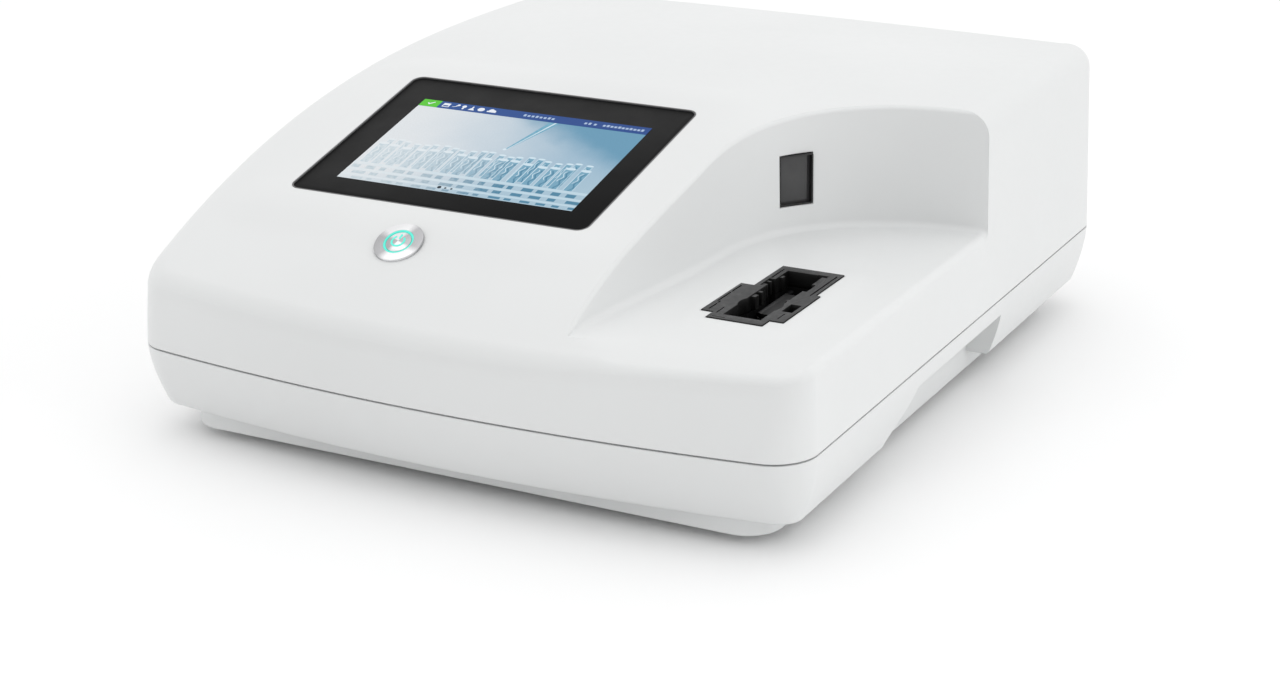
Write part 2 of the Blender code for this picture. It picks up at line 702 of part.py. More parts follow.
def build_cuvette_section(black, spring_mat, steel):
    insert = prism("cuvette_insert", INSERT_OUTLINE, INSERT_BOTTOM, INSERT_TOP, black)
    tools = slot_tools(INSERT_BOTTOM - 2, INSERT_TOP + 2)
    tools.append(box("sensor_window", (109.4, -98.7, INSERT_BOTTOM - 1), (113.6, -90.0, INSERT_TOP + 1)))
    cut(insert, *tools)

    top = INSERT_BOTTOM - GAP
    well = box("cuvette_well", (84.5, -115.6, 14.0), (113.9, -50.0, top), black)
    tools = slot_tools(19.0, top + 2)
    tools.append(rod("beam_hole", (WELL_X, -80, BEAM_Z), "y", 3.0, -60, 60))
    tools.append(rod("pin_hole", (PIN_X, -54, top - 2.6), "y", 1.1, -1, 6, steps=12))
    tools.append(box("clamp_pocket", (105.0, -74.0, 30.0), (110.6, -66.4, 60.0)))
    cut(well, *tools)

    pin_z = top - 2.6
    rod("shutter_pin", (PIN_X, 0, pin_z), "y", 0.8, SHUTTER_FRONT + 0.4, -50.6, steel, 12)
    flap = box("cuvette_shutter", (PIN_X + 0.3, SHUTTER_FRONT, pin_z - 0.9), (106.3, -59.0, pin_z + 0.9), black)
    barrel = rod("barrel", (PIN_X, 0, pin_z), "y", 1.25, SHUTTER_FRONT, -59.0, steps=16)
    add(flap, barrel)
    cut(flap, rod("bore", (PIN_X, 0, pin_z), "y", 1.05, SHUTTER_FRONT - 1, -58.0, steps=16))
    set_origin(flap, (PIN_X, SHUTTER_FRONT, pin_z))
    placed(coil("shutter_spring", 1.15, 0.15, 0.0, 3.6, 5, spring_mat, 10, 5), (PIN_X, -58.5, pin_z), "y")

    clamp = box("cuvette_clamp", (106.2, -73.4, 33.0), (108.0, -67.0, 57.0), black)
    nose = rod("nose", (106.6, 0, 0), "z", 1.2, 33.0, 57.0, steps=12)
    placed(nose, (0, -70.2, 0))
    add(clamp, nose)
    set_origin(clamp, (107.0, -70.2, 45.0))
    placed(coil("clamp_spring", 1.4, 0.25, 0.0, 2.0, 3, spring_mat, 10, 5), (108.3, -70.2, 45.0), "x")


def build_barcode_reader(glass_mat, plastic):
    on_window(box("barcode_window", (-7.5, -10.5, -2.2), (7.5, 10.5, -0.7), glass_mat))
    reader = on_window(box("barcode_reader", (-11.0, -12.5, -20.0), (11.0, 12.5, -5.5), plastic))
    cut(reader, on_window(box("aperture", (-6.0, -8.0, -9.0), (6.0, 8.0, -4.0))))


# ---------------------------------------------------------------- optics
def standing_plate(name, axis, at, wide, thick, top, hole, mat):
    """A plate that stands on the optics base across the beam, with a hole at beam height."""
    x, y = at
    if axis == "x":
        low, high = (x - thick / 2, y - wide / 2, BENCH), (x + thick / 2, y + wide / 2, top)
    else:
        low, high = (x - wide / 2, y - thick / 2, BENCH), (x + wide / 2, y + thick / 2, top)
    plate = box(name, low, high, mat)
    return cut(plate, rod("hole", (x, y, BEAM_Z), axis, hole, -thick, thick, steps=24))


def lens(name, at, axis, radius, middle, mat):
    """A biconvex lens of rim thickness 2."""
    profile = []
    bands = 4
    for k in range(bands + 1):
        r = radius * k / bands
        profile.append((r, -1.0 - middle * (1 - (r / radius) ** 2)))
    mirrored = [(r, -h) for r, h in profile[::-1]]
    return placed(turned(name, profile + mirrored, mat, 24), at, axis)


def facing(thing, at, direction):
    """Puts a solid whose face looks along local Z at a point, looking in a horizontal direction."""
    flat = Vector((direction[0], direction[1], 0)).normalized()
    side = Vector((0, 0, 1)).cross(flat).normalized()
    turn = Matrix((side, Vector((0, 0, 1)), flat)).transposed().to_4x4()
    return bake_place(thing, Matrix.Translation(at) @ turn)


def build_mirror(name, at, direction, mirror_mat, mount_mat):
    x, y = at
    face = [(0, -6), (11, -6), (11, 0)]
    face += [(11 * k / 4, -1.2 * (1 - (k / 4) ** 2)) for k in (3, 2, 1, 0)]
    facing(turned(name, face, mirror_mat, 24), (x, y, BEAM_Z), direction)
    mount = facing(box(name + "_mount", (-13, BENCH - BEAM_Z, -10), (13, 15.5, -2.5), mount_mat), (x, y, BEAM_Z),
                   direction)
    cut(mount, facing(turned("seat", [(0, -7), (11.4, -7), (11.4, 2), (0, 2)]), (x, y, BEAM_Z), direction))


def gear_outline(teeth, module, first=0.0, sector=None, hub=0.0):
    """Plan of a spur gear with straight-flanked teeth, or of a toothed sector that closes on a hub."""
    pitch = 2 * math.pi / teeth
    radius = module * teeth / 2
    tip, root = radius + 0.75 * module, radius - 1.05 * module
    points = []
    count = teeth if sector is None else sector
    for k in range(count):
        middle = first + (k - (count - 1) / 2 if sector else k) * pitch
        for reach, share in ((root, -0.32), (tip, -0.15), (tip, 0.15), (root, 0.32)):
            angle = middle + share * pitch
            points.append((reach * math.cos(angle), reach * math.sin(angle)))
    if sector:
        last = first + (count / 2) * pitch
        for k in range(1, 12):
            angle = last + (2 * math.pi - count * pitch) * k / 12
            points.append((hub * math.cos(angle), hub * math.sin(angle)))
    return points


def build_optics(cast, cover_mat, black, glass_mat, mirror_mat, steel, ceramic, sensor_mat):
    base = box("optics_base", (-90.0, -40.0, 17.0), (118.0, 122.0, BASE_TOP), cast)
    legs = [rod("leg", (x, y, 0), "z", 6.0, FLOOR_TOP + GAP, 18.0, steps=16)
            for x in (-80.0, 92.0) for y in (-28.0, 98.0)]
    add(base, *legs)

    # lamp, with its beam along +X
    lamp_x, lamp_y = LAMP
    fins = []
    for k in range(6):
        x = -88 + 7 * k
        fins += [(x, 12.5), (x, 21), (x + 2.5, 21), (x + 2.5, 12.5)]
    near = [(x, -y) for x, y in fins]
    pocket = [(-50.5, -10), (-84.0, -10), (-84.0, 10), (-50.5, 10)]
    outline = near + pocket + fins[::-1]
    prism("lamp_heat_sink", [(x, y + lamp_y) for x, y in outline], BENCH, 62.0, cast)
    placed(turned("lamp_socket", [(0, BENCH), (7.5, BENCH), (7.5, 36.0), (0, 36.0)], ceramic), (lamp_x, lamp_y, 0))
    bulb = [(0, 36.3), (3.0, 36.3), (3.0, 40.0), (5.5, 41.5), (5.5, 53.0), (3.9, 56.5), (0, 58.0)]
    placed(turned("halogen_lamp", bulb, glass_mat), (lamp_x, lamp_y, 0))
    standing_plate("condenser_mount", "x", (-36.0, lamp_y), 26.0, 6.0, 62.0, 9.3, black)
    lens("condenser_lens", (-36.0, lamp_y, BEAM_Z), "x", 9.0, 1.6, glass_mat)

    # filter wheel
    wheel = turned("filter_wheel", [(0, -1.5), (15.7, -1.5), (15.7, 1.5), (0, 1.5)], black, 32)
    openings = []
    for k in range(6):
        angle = math.pi * k / 3
        hole = turned("hole", [(0, -3), (4.0, -3), (4.0, 3), (0, 3)], steps=16)
        openings.append(bake_place(hole, Matrix.Translation((WHEEL_HOLES * math.cos(angle),
                                                             WHEEL_HOLES * math.sin(angle), 0))))
    openings.append(turned("bore", [(0, -3), (1.5, -3), (1.5, 3), (0, 3)], steps=12))
    cut(wheel, *openings)
    centre = (WHEEL_X, WHEEL_Y, BEAM_Z)
    placed(wheel, centre, "x", 0.0)
    set_origin(wheel, centre)
    shaft = [(0, -3.5), (1.2, -3.5), (1.2, 2.4), (8.0, 2.4), (8.0, 14.0), (0, 14.0)]
    motor = placed(turned("filter_motor", shaft, steel, 20), centre, "x")
    foot = box("motor_foot", (WHEEL_X + 4, WHEEL_Y - 5, BENCH), (WHEEL_X + 12, WHEEL_Y + 5, BEAM_Z - 4))
    add(motor, foot)

    standing_plate("entrance_slit", "x", (16.0, lamp_y), 24.0, 1.6, 62.0, 1.2, black)
    build_mirror("collimating_mirror", (98.0, lamp_y), (-0.961, -0.276), mirror_mat, black)
    build_mirror("focusing_mirror", (WELL_X, 8.0), (-0.851, -0.525), mirror_mat, black)

    # grating and its drive
    grating_x, grating_y = GRATING
    table = [(0, BENCH), (4.0, BENCH), (4.0, 26.0), (2.0, 26.0), (2.0, 33.0), (10.5, 33.0), (10.5, 35.7),
             (0, 35.7)]
    table = placed(turned("grating_table", table, steel), (grating_x, grating_y, 0))
    block = box("diffraction_grating", (grating_x - 6, grating_y - 9, 36.0), (grating_x, grating_y + 9, 58.0),
                mirror_mat)
    sector = prism("sector_gear", [(grating_x + x, grating_y + y) for x, y in
                                   gear_outline(GEAR_TEETH, GEAR_MODULE, math.pi, 19, 6.0)], 27.0, 30.0, steel)
    cut(sector, rod("bore", (grating_x, grating_y, 0), "z", 2.3, 20, 40, steps=16))
    for thing in (table, block, sector):
        set_origin(thing, (grating_x, grating_y, BASE_TOP))
    motor_x = grating_x - GEAR_DISTANCE
    pitch = math.pi / PINION_TEETH
    pinion = prism("motor_pinion", [(motor_x + x, grating_y + y) for x, y in
                                    gear_outline(PINION_TEETH, GEAR_MODULE, pitch)], 26.5, 30.5, steel)
    cut(pinion, rod("bore", (motor_x, grating_y, 0), "z", 1.2, 20, 40, steps=12))
    set_origin(pinion, (motor_x, grating_y, BASE_TOP))
    profile = [(0, BENCH), (0.9, BENCH), (0.9, 31.0), (9.0, 31.0), (9.0, 47.0), (0, 47.0)]
    stepper = placed(turned("grating_motor", profile, steel), (motor_x, grating_y, 0))
    ears = [box("ear", (motor_x - 4, grating_y + s * 13 - 3, BENCH), (motor_x + 4, grating_y + s * 13 + 3, 33.0))
            for s in (-1, 1)]
    ears.append(box("flange", (motor_x - 4, grating_y - 15, 31.2), (motor_x + 4, grating_y + 15, 33.0)))
    add(stepper, *ears)

    # from the monochromator to the cuvette
    slit = standing_plate("exit_slit", "y", (WELL_X, -14.0), 24.0, 12.0, 60.0, 1.2, black)
    cut(slit, rod("lens_seat", (WELL_X, -20.0, BEAM_Z), "y", 7.3, -1.0, 9.5, steps=24))
    lens("exit_lens", (WELL_X, -16.0, BEAM_Z), "y", 7.0, 1.2, glass_mat)
    plate = box("beam_splitter", (-7, -7, -0.5), (7, 7, 0.5), glass_mat)
    facing(plate, (WELL_X, -29.0, BEAM_Z), (1, 1))
    detector = [(0, -5), (4.6, -5), (4.6, 1.0), (4.0, 2.5), (0, 2.5)]
    facing(turned("reference_detector", detector, sensor_mat, 20), (111.0, -29.0, BEAM_Z), (-1, 0))
    sample = box("sample_detector", (90.0, -126.0, 40.0), (108.4, -115.9, 56.0), sensor_mat)
    cut(sample, rod("eye", (WELL_X, -116, BEAM_Z), "y", 3.0, -5, 5))

    cover = box("optics_cover", (-45.0, -40.0, BENCH), (118.0, 122.0, 66.0), cover_mat)
    hollow = box("hollow", (-43.0, -38.0, 0.0), (116.0, 120.0, 64.0))
    tools = [hollow, rod("lamp_port", (-44, lamp_y, BEAM_Z), "x", 8.0, -5, 5)]
    tools.append(rod("beam_port", (WELL_X, -39, BEAM_Z), "y", 4.0, -5, 5))
    cut(cover, *tools)


# ---------------------------------------------------------------- electronics and cooling
def build_electronics(board_mat, plastic, metal, black):
    outline = [(-124, -135), (-94, -135), (-94, 127), (-50, 127), (-50, 154), (-130, 154), (-130, 60), (-124, 60)]
    board = prism("main_board", outline, 20.0, 21.6, board_mat)
    cut(board, *[rod("boss_hole", (x, y, 0), "z", 7.0, 10, 30) for x, y in SCREW_PLACES if x < 0])
    board_top = 21.6 + GAP
    jack = box("dc_jack", (-122.6, 143.0, board_top), (-113.4, 157.1, 33.2), black)
    add(jack, rod("nose", (-118.0, 150, 27.6), "y", 5.0, 0, 12.5))
    cut(jack, rod("bore", (-118.0, 150, 27.6), "y", 3.2, -4, 14))
    add(jack, rod("pin", (-118.0, 150, 27.6), "y", 1.0, -6, 11, steps=12))
    x = USB_X
    port = box("usb_port", (x - 6.8, 146.0, board_top), (x + 6.8, 162.5, 28.5), metal)
    cut(port, box("throat", (x - 6.2, 149.0, board_top + 0.7), (x + 6.2, 170.0, 27.9)))
    add(port, box("tongue", (x - 5.0, 147.0, 25.9), (x + 5.0, 160.0, 27.0)))
    port = box("ethernet_port", (-68.7, 141.0, board_top), (-52.7, 162.5, 35.3), metal)
    cut(port, box("throat", (-66.7, 147.0, board_top + 2.2), (-54.7, 170.0, 33.0)))


def build_fan(plastic):
    x, y, z = FAN_CENTRE
    frame_box = box("fan_frame", (x - 20, y - 5, SKIRT_BOTTOM + WALL + GAP), (x + 20, y + 5, z + 20), plastic)
    tools = [rod("duct", FAN_CENTRE, "y", 16.8, -7, 7, steps=32)]
    tools.append(box("lower_window", (x - 15, y - 7, 19), (x + 15, y + 7, z - 24)))
    cut(frame_box, *tools)
    struts = [box("strut", (x - 17.5, y + 3.2, z - 1.2), (x + 17.5, y + 4.8, z + 1.2))]
    struts.append(box("strut", (x - 1.2, y + 3.2, z - 17.5), (x + 1.2, y + 4.8, z + 17.5)))
    struts.append(rod("stator", FAN_CENTRE, "y", 7.5, 2.6, 4.8))
    struts.append(rod("spindle", FAN_CENTRE, "y", 1.2, -2.5, 4.0, steps=12))
    add(frame_box, *struts)
    rotor = rod("fan_rotor", FAN_CENTRE, "y", 8.0, -4.5, 2.2, plastic, 28)
    blades = []
    for k in range(7):
        blade = box("blade", (6.5, -0.5, -3.6), (15.9, 0.5, 3.6))
        tilt = Matrix.Rotation(math.radians(50), 4, "X")
        turn = Matrix.Rotation(2 * math.pi * k / 7, 4, "Z")
        bake_place(blade, turn @ tilt)
        placed(blade, (x, y - 1.2, z), "y")
        blades.append(blade)
    add(rotor, *blades)
    cut(rotor, rod("bore", FAN_CENTRE, "y", 1.5, -3.0, 6, steps=16))
    set_origin(rotor, FAN_CENTRE)


def build():
    remove_everything()
    white = material("white_plastic", (0.86, 0.87, 0.87), 0.45)
    rubber = material("rubber", (0.05, 0.05, 0.05), 0.85)
    steel = material("steel", (0.62, 0.62, 0.63), 0.28, 1.0)
    glass_black = material("black_glass", (0.01, 0.01, 0.012), 0.08)
    black = material("black_plastic", (0.03, 0.03, 0.032), 0.5)
    light = material("light_guide", (0.35, 0.95, 0.85), 0.3)
    clear = material("clear_glass", (0.85, 0.9, 0.92), 0.03)
    mirror = material("mirror", (0.9, 0.91, 0.92), 0.03, 1.0)
    cast = material("cast_aluminium", (0.55, 0.56, 0.57), 0.5, 1.0)
    ceramic = material("ceramic", (0.85, 0.83, 0.78), 0.6)
    board = material("circuit_board", (0.02, 0.2, 0.08), 0.5)
    cable = material("flat_cable", (0.75, 0.76, 0.78), 0.5)

    build_upper_housing(white)
    build_lower_housing(white)
    build_rear_panel(white)
    build_feet(rubber)
    build_housing_screws(steel)
    build_display(glass_black, steel, steel)
    build_display_cable(cable)
    build_button(steel, light, black, steel)
    build_cuvette_section(black, steel, steel)
    build_barcode_reader(glass_black, black)
    build_optics(cast, black, black, clear, mirror, steel, ceramic, black)
    build_electronics(board, black, steel, black)
    build_fan(black)


build()
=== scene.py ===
"""Looks of the bench spectrophotometer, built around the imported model.

Lengths below are in millimetres and become metres when a mesh is made. X runs to the operator's
right, Y to the back and Z up, from the middle of the case on the surface that it stands on.
"""
import math

import bmesh
import bpy
from mathutils import Matrix, Vector


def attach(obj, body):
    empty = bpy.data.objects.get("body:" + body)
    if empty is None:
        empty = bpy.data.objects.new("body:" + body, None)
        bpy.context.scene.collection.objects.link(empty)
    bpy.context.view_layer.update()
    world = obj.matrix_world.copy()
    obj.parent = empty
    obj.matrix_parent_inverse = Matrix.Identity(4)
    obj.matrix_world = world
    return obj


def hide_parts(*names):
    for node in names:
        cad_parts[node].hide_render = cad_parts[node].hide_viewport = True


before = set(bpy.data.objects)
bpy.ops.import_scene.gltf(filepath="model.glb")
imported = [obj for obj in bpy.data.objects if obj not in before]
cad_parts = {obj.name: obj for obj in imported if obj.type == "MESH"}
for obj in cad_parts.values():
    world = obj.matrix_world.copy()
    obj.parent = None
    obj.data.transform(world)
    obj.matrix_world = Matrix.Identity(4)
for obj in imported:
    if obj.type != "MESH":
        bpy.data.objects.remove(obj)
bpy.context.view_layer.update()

MM = 0.001
SHARP_ANGLE = math.radians(35)

# ---- case, as in the model ----
HALF_WIDTH = 145.0
HALF_DEPTH = 170.0
PARTING = 38.0
GROOVE = 0.7
WALL = 3.0
GAP = 0.3
TOP_RISE = 87.0
NOSE_DROP = 63.2
NOSE_RUN = 300.0
REAR_SAG = 2.8            # the top falls by this much again towards the rear edge
CROWN_REAR = 1.0          # fall of the top from the middle to a side, at the rear
CROWN_NOSE = 3.5          # what the nose adds to that fall
LEVEL_SHARE = 0.95        # part of the nose's crown that is taken away at the front right
BOW = 11.5
SIDE_TAPER = 2.0
CORNER_FRONT = 15.0
CORNER_REAR = 14.0
SIDE_DRAFT = math.tan(math.radians(2.0))
REAR_DRAFT = math.tan(math.radians(1.5))
FRONT_LEAN = 5.5
CREASE_HEIGHT = 27.0
EDGE_SIDE = 10.0
EDGE_FRONT = 7.0
EDGE_REAR = 14.0
EDGE_DECK = 3.4           # edge of the low deck along the right side
SKIRT = 26.3
SKIRT_IN_SIDE = 6.0
SKIRT_IN_FRONT = 9.0
SKIRT_IN_REAR = 13.0
SKIRT_LIP = 1.2           # rounding of the lower edge of the skirt
PLINTH_HALF_WIDTH = 128.0
PLINTH_FRONT = -150.0
PLINTH_REAR = 146.0
FOOT_HEIGHT = 4.0
SKIRT_BOTTOM = PARTING - SKIRT
GRIP_TOP = PARTING - 8.0
GRIP_FRONT = -62.0
GRIP_REAR = 47.0
DISPLAY_TILT = math.radians(14.2)
DISPLAY_CENTRE = Vector((-37.0, -57.5, PARTING + 67.6))
DISPLAY_WIDTH = 135.3
DISPLAY_LENGTH = 98.6
DISPLAY_FADE = 26.0
GLASS_THICKNESS = 2.0
GLASS_SUNK = 0.45         # the glass lies this far below the edge of its gasket
BUTTON_X = -38.0
BUTTON_Y = -127.1
RECESS_FLOOR = PARTING + 32.8
RECESS_DRAFT = math.tan(math.radians(1.8))
WALL_FILLET = 3.0         # between the recess wall and its floor
WALL_CREST = 1.6          # rounding along the top of the recess wall
DECK_SIDE = 142.7         # side face of the case at the height of the deck, at the rear end of the recess
RAMP = 4.6                # distance inside the recess wall at which the deck is at its own height
RECESS_LEFT = 51.0        # foot of the recess wall at the front
RECESS_LEAN = 7.0         # the wall drifts this far to the right on its way back
RECESS_Y = -55.0          # here the wall starts to bend to the right
RECESS_REACH_X = 87.0
RECESS_REACH_Y = 82.5
RECESS_POWER = 2.3        # squareness of the bend
BEYOND = 200.0            # past every side of the case
ISLAND_RISE = 0.8         # soft rise of the deck round the slot insert
ISLAND_CENTRE = Vector((98.5, -83.0))
ISLAND_HALF = Vector((16.0, 33.0))
INSERT_TOP = RECESS_FLOOR + 1.2
INSERT_BOTTOM = RECESS_FLOOR - 4.8
WINDOW_CENTRE = Vector((71.6, -4.0, PARTING + 54.6))
WINDOW_FACING = Vector((0.77, -0.64, 0.0)).normalized()
SCREW_PLACES = [(-112.0, -126.0), (120.0, -130.0), (-112.0, 130.0), (112.0, 130.0)]
FOOT_PLACES = [(-104.0, -104.0), (104.0, -104.0), (-104.0, 112.0), (104.0, 112.0)]
POST_PLACES = [(-119.0, -105.0), (-98.0, -105.0), (-119.0, 60.0), (-98.0, 60.0)]
INSERT_OUTLINE = [(86.9, -116.0), (109.6, -116.0), (109.6, -109.7), (115.1, -109.7), (115.1, -76.6),
                  (113.2, -76.6), (113.2, -49.8), (87.3, -49.8), (87.3, -75.8), (81.8, -75.8),
                  (81.8, -109.7), (86.9, -109.7)]

# ---- picture on the display ----
PICTURE_WIDTH = 107.9
PICTURE_LENGTH = 68.2
PICTURE_SHIFT = Vector((0.9, -2.1))
STATUS_HEIGHT = 5.6
PLATE = 0.15              # thickness of the picture's plates


# ---------------------------------------------------------------- meshes
def smoothed(mesh):
    mesh.shade_smooth()
    mesh.set_sharp_from_angle(angle=SHARP_ANGLE)


def finish_mesh(name, bm, mat):
    bmesh.ops.recalc_face_normals(bm, faces=bm.faces)
    bmesh.ops.scale(bm, vec=(MM, MM, MM), verts=bm.verts)
    mesh = bpy.data.meshes.new(name)
    bm.to_mesh(mesh)
    bm.free()
    thing = bpy.data.objects.new(name, mesh)
    bpy.context.scene.collection.objects.link(thing)
    if mat:
        mesh.materials.append(mat)
    smoothed(mesh)
    return thing


def applied(thing, step):
    """Makes the result of a modifier the object's own mesh."""
    bpy.context.view_layer.update()
    graph = bpy.context.evaluated_depsgraph_get()
    result = bpy.data.meshes.new_from_object(thing.evaluated_get(graph))
    thing.modifiers.remove(step)
    thing.data = result
    return thing


def combine(target, tools, operation):
    for tool in tools:
        step = target.modifiers.new("step", "BOOLEAN")
        step.operation = operation
        step.solver = "EXACT"
        step.object = tool
        applied(target, step)
        bpy.data.objects.remove(tool)
    smoothed(target.data)
    return target


def cut(target, *tools):
    return combine(target, tools, "DIFFERENCE")


def add(target, *tools):
    return combine(target, tools, "UNION")


def evened(thing):
    """Weights the normals by face size, so that flats stay flat beside their roundings."""
    step = thing.modifiers.new("normals", "WEIGHTED_NORMAL")
    step.keep_sharp = True
    return applied(thing, step)


def bevelled(thing, width):
    """Rounds every sharp edge."""
    step = thing.modifiers.new("edges", "BEVEL")
    step.width = width * MM
    step.segments = 2
    step.limit_method = "ANGLE"
    step.angle_limit = math.radians(40)
    applied(thing, step)
    smoothed(thing.data)
    return thing


def box(name, low, high, mat=None):
    bm = bmesh.new()
    bmesh.ops.create_cube(bm, size=1.0)
    for vertex in bm.verts:
        for axis in range(3):
            vertex.co[axis] = high[axis] if vertex.co[axis] > 0 else low[axis]
    return finish_mesh(name, bm, mat)


def extruded(bm, points, shift):
    """Adds the face through the points and pulls it out by the shift."""
    face = bm.faces.new([bm.verts.new(point) for point in points])
    risen = bmesh.ops.extrude_face_region(bm, geom=[face])["geom"]
    verts = [item for item in risen if isinstance(item, bmesh.types.BMVert)]
    bmesh.ops.translate(bm, verts=verts, vec=shift)


def prism(name, outline, low, high, mat=None):
    bm = bmesh.new()
    extruded(bm, [(x, y, low) for x, y in outline], (0, 0, high - low))
    return finish_mesh(name, bm, mat)


def circle(radius, steps):
    turns = [2 * math.pi * k / steps for k in range(steps)]
    return [(radius * math.cos(turn), radius * math.sin(turn)) for turn in turns]


def turned(name, profile, mat=None, steps=64):
    bm = bmesh.new()
    rings = []
    for radius, height in profile:
        if radius == 0:
            rings.append([bm.verts.new((0, 0, height))])
            continue
        rings.append([bm.verts.new((x, y, height)) for x, y in circle(radius, steps)])
    pairs = list(zip(rings, rings[1:]))
    if profile[0][0] != 0:
        pairs.append((rings[-1], rings[0]))
    for lower, upper in pairs:
        for k in range(steps):
            after = (k + 1) % steps
            corners = [lower[k % len(lower)], lower[after % len(lower)],
                       upper[after % len(upper)], upper[k % len(upper)]]
            unique = list(dict.fromkeys(corners))
            if len(unique) > 2:
                bm.faces.new(unique)
    return finish_mesh(name, bm, mat)


def in_metres(matrix):
    place = matrix.copy()
    place.translation = matrix.translation * MM
    return place


def bake_place(thing, matrix):
    thing.data.transform(in_metres(matrix))
    return thing


def set_place(thing, matrix):
    """Places an object by its matrix, so that its own frame stays free for its material."""
    thing.matrix_world = in_metres(matrix)


AXIS_TURN = {"x": Matrix.Rotation(math.radians(90), 4, "Y"), "y": Matrix.Rotation(math.radians(-90), 4, "X"),
             "z": Matrix.Identity(4)}


def rod(name, at, axis, radius, low, high, steps=32):
    solid = turned(name, [(0, low), (radius, low), (radius, high), (0, high)], steps=steps)
    return bake_place(solid, Matrix.Translation(at) @ AXIS_TURN[axis])


def rods_at(places, name, radius, low, high, steps=32):
    return [rod(name, (x, y, 0), "z", radius, low, high, steps=steps) for x, y in places]


def rounded_rectangle(half_x, low_y, high_y, radius, steps=4):
    points = []
    corners = ((half_x, low_y, -90), (half_x, high_y, 0), (-half_x, high_y, 90), (-half_x, low_y, 180))
    for x, y, start in corners:
        middle_x = x - math.copysign(radius, x)
        middle_y = y + radius if y == low_y else y - radius
        for k in range(steps + 1):
            angle = math.radians(start + 90 * k / steps)
            points.append((middle_x + radius * math.cos(angle), middle_y + radius * math.sin(angle)))
    return points


def grown(outline, margin):
    """The outline with every side moved out by the margin."""
    result = []
    for k, (x, y) in enumerate(outline):
        before = Vector(outline[k]) - Vector(outline[k - 1])
        after = Vector(outline[(k + 1) % len(outline)]) - Vector(outline[k])
        out_before = Vector((before.y, -before.x)).normalized()
        out_after = Vector((after.y, -after.x)).normalized()
        shift = (out_before + out_after) * margin
        result.append((x + shift.x, y + shift.y))
    return result


# ---------------------------------------------------------------- shape of the case
def blend(value):
    """A soft step from 0 to 1."""
    value = min(max(value, 0.0), 1.0)
    return value * value * (3 - 2 * value)


def display_plane(y):
    return DISPLAY_CENTRE.z + (y - DISPLAY_CENTRE.y) * math.tan(DISPLAY_TILT)


def top_height(x, y):
    depth = y + HALF_DEPTH
    fall = NOSE_DROP * max(0.0, 1 - depth / NOSE_RUN) ** 3
    painted_top_light = LEVEL_SHARE * blend((x - 10.0) / 100.0) * blend((-60.0 - y) / 60.0)
    crown = CROWN_REAR + CROWN_NOSE * (1 - depth / (2 * HALF_DEPTH)) * (1 - painted_top_light)
    crown *= (x / HALF_WIDTH) ** 2
    sag = REAR_SAG * (max(y, 0.0) / HALF_DEPTH) ** 2
    height = PARTING + TOP_RISE - fall - crown - sag
    outside_x = max(0.0, abs(x - DISPLAY_CENTRE.x) - DISPLAY_WIDTH / 2 - 2)
    outside_y = max(0.0, abs(y - DISPLAY_CENTRE.y) - DISPLAY_LENGTH / 2 + 1)
    away = math.hypot(outside_x, outside_y) / DISPLAY_FADE
    return height + (display_plane(y) - height) * (1 - blend(away))


def recess_left(y):
    return RECESS_LEFT + RECESS_LEAN * blend((y + 150.0) / 95.0)


def recess_bend(angle):
    """A point on the bend of the recess wall in plan."""
    power = 2 / RECESS_POWER
    return Vector((HALF_WIDTH - RECESS_REACH_X * max(math.cos(angle), 0.0) ** power,
                   RECESS_Y + RECESS_REACH_Y * math.sin(angle) ** power))


def recess_curve():
    """The foot of the recess wall in plan, from the front to the right side."""
    straight, bend = 44, 70                      # points on each part
    points = []
    for k in range(straight):
        y = -BEYOND + (BEYOND + RECESS_Y) * k / straight
        points.append(Vector((recess_left(y), y)))
    for k in range(bend + 1):
        points.append(recess_bend(math.pi / 2 * (1 - (1 - k / bend) ** 1.8)))
    points.append(Vector((175.0, RECESS_Y + RECESS_REACH_Y)))
    return points


WALL_LINE = recess_curve()


def inside_recess(x, y):
    """Distance inside the recess wall, and below zero outside it."""
    point = Vector((x, y))
    nearest = 1e9
    for a, b in zip(WALL_LINE, WALL_LINE[1:]):
        along = b - a
        share = min(max((point - a).dot(along) / along.length_squared, 0.0), 1.0)
        nearest = min(nearest, (point - a - along * share).length_squared)
    nearest = math.sqrt(nearest)
    if y < RECESS_Y:
        inside = x > recess_left(y)
    else:
        reach = (max(HALF_WIDTH - x, 0.0) / RECESS_REACH_X) ** RECESS_POWER
        inside = reach + ((y - RECESS_Y) / RECESS_REACH_Y) ** RECESS_POWER < 1
    return nearest if inside else -nearest


def island(x, y):
    """A soft rise of the deck round the slot insert."""
    away_x = max(abs(x - ISLAND_CENTRE.x) - ISLAND_HALF.x, 0.0)
    away_y = max(abs(y - ISLAND_CENTRE.y) - ISLAND_HALF.y, 0.0)
    return ISLAND_RISE * (1 - blend((math.hypot(away_x, away_y) - 3.5) / 6.5))


def skin_height(x, y):
    """The finished top: the curved top, or the deck of the recess, which runs softly into the nose."""
    top = top_height(x, y)
    if x < 45.0 or y > 35.0:
        return top
    depth = inside_recess(x, y)
    if depth < RAMP:
        return top
    soft = 0.3 + 9.0 * blend((depth - RAMP) / 22.0)
    deck = RECESS_FLOOR + island(x, y)
    overlap = max(soft - abs(top - deck), 0.0)
    return min(top, deck) - overlap * overlap / (4 * soft)


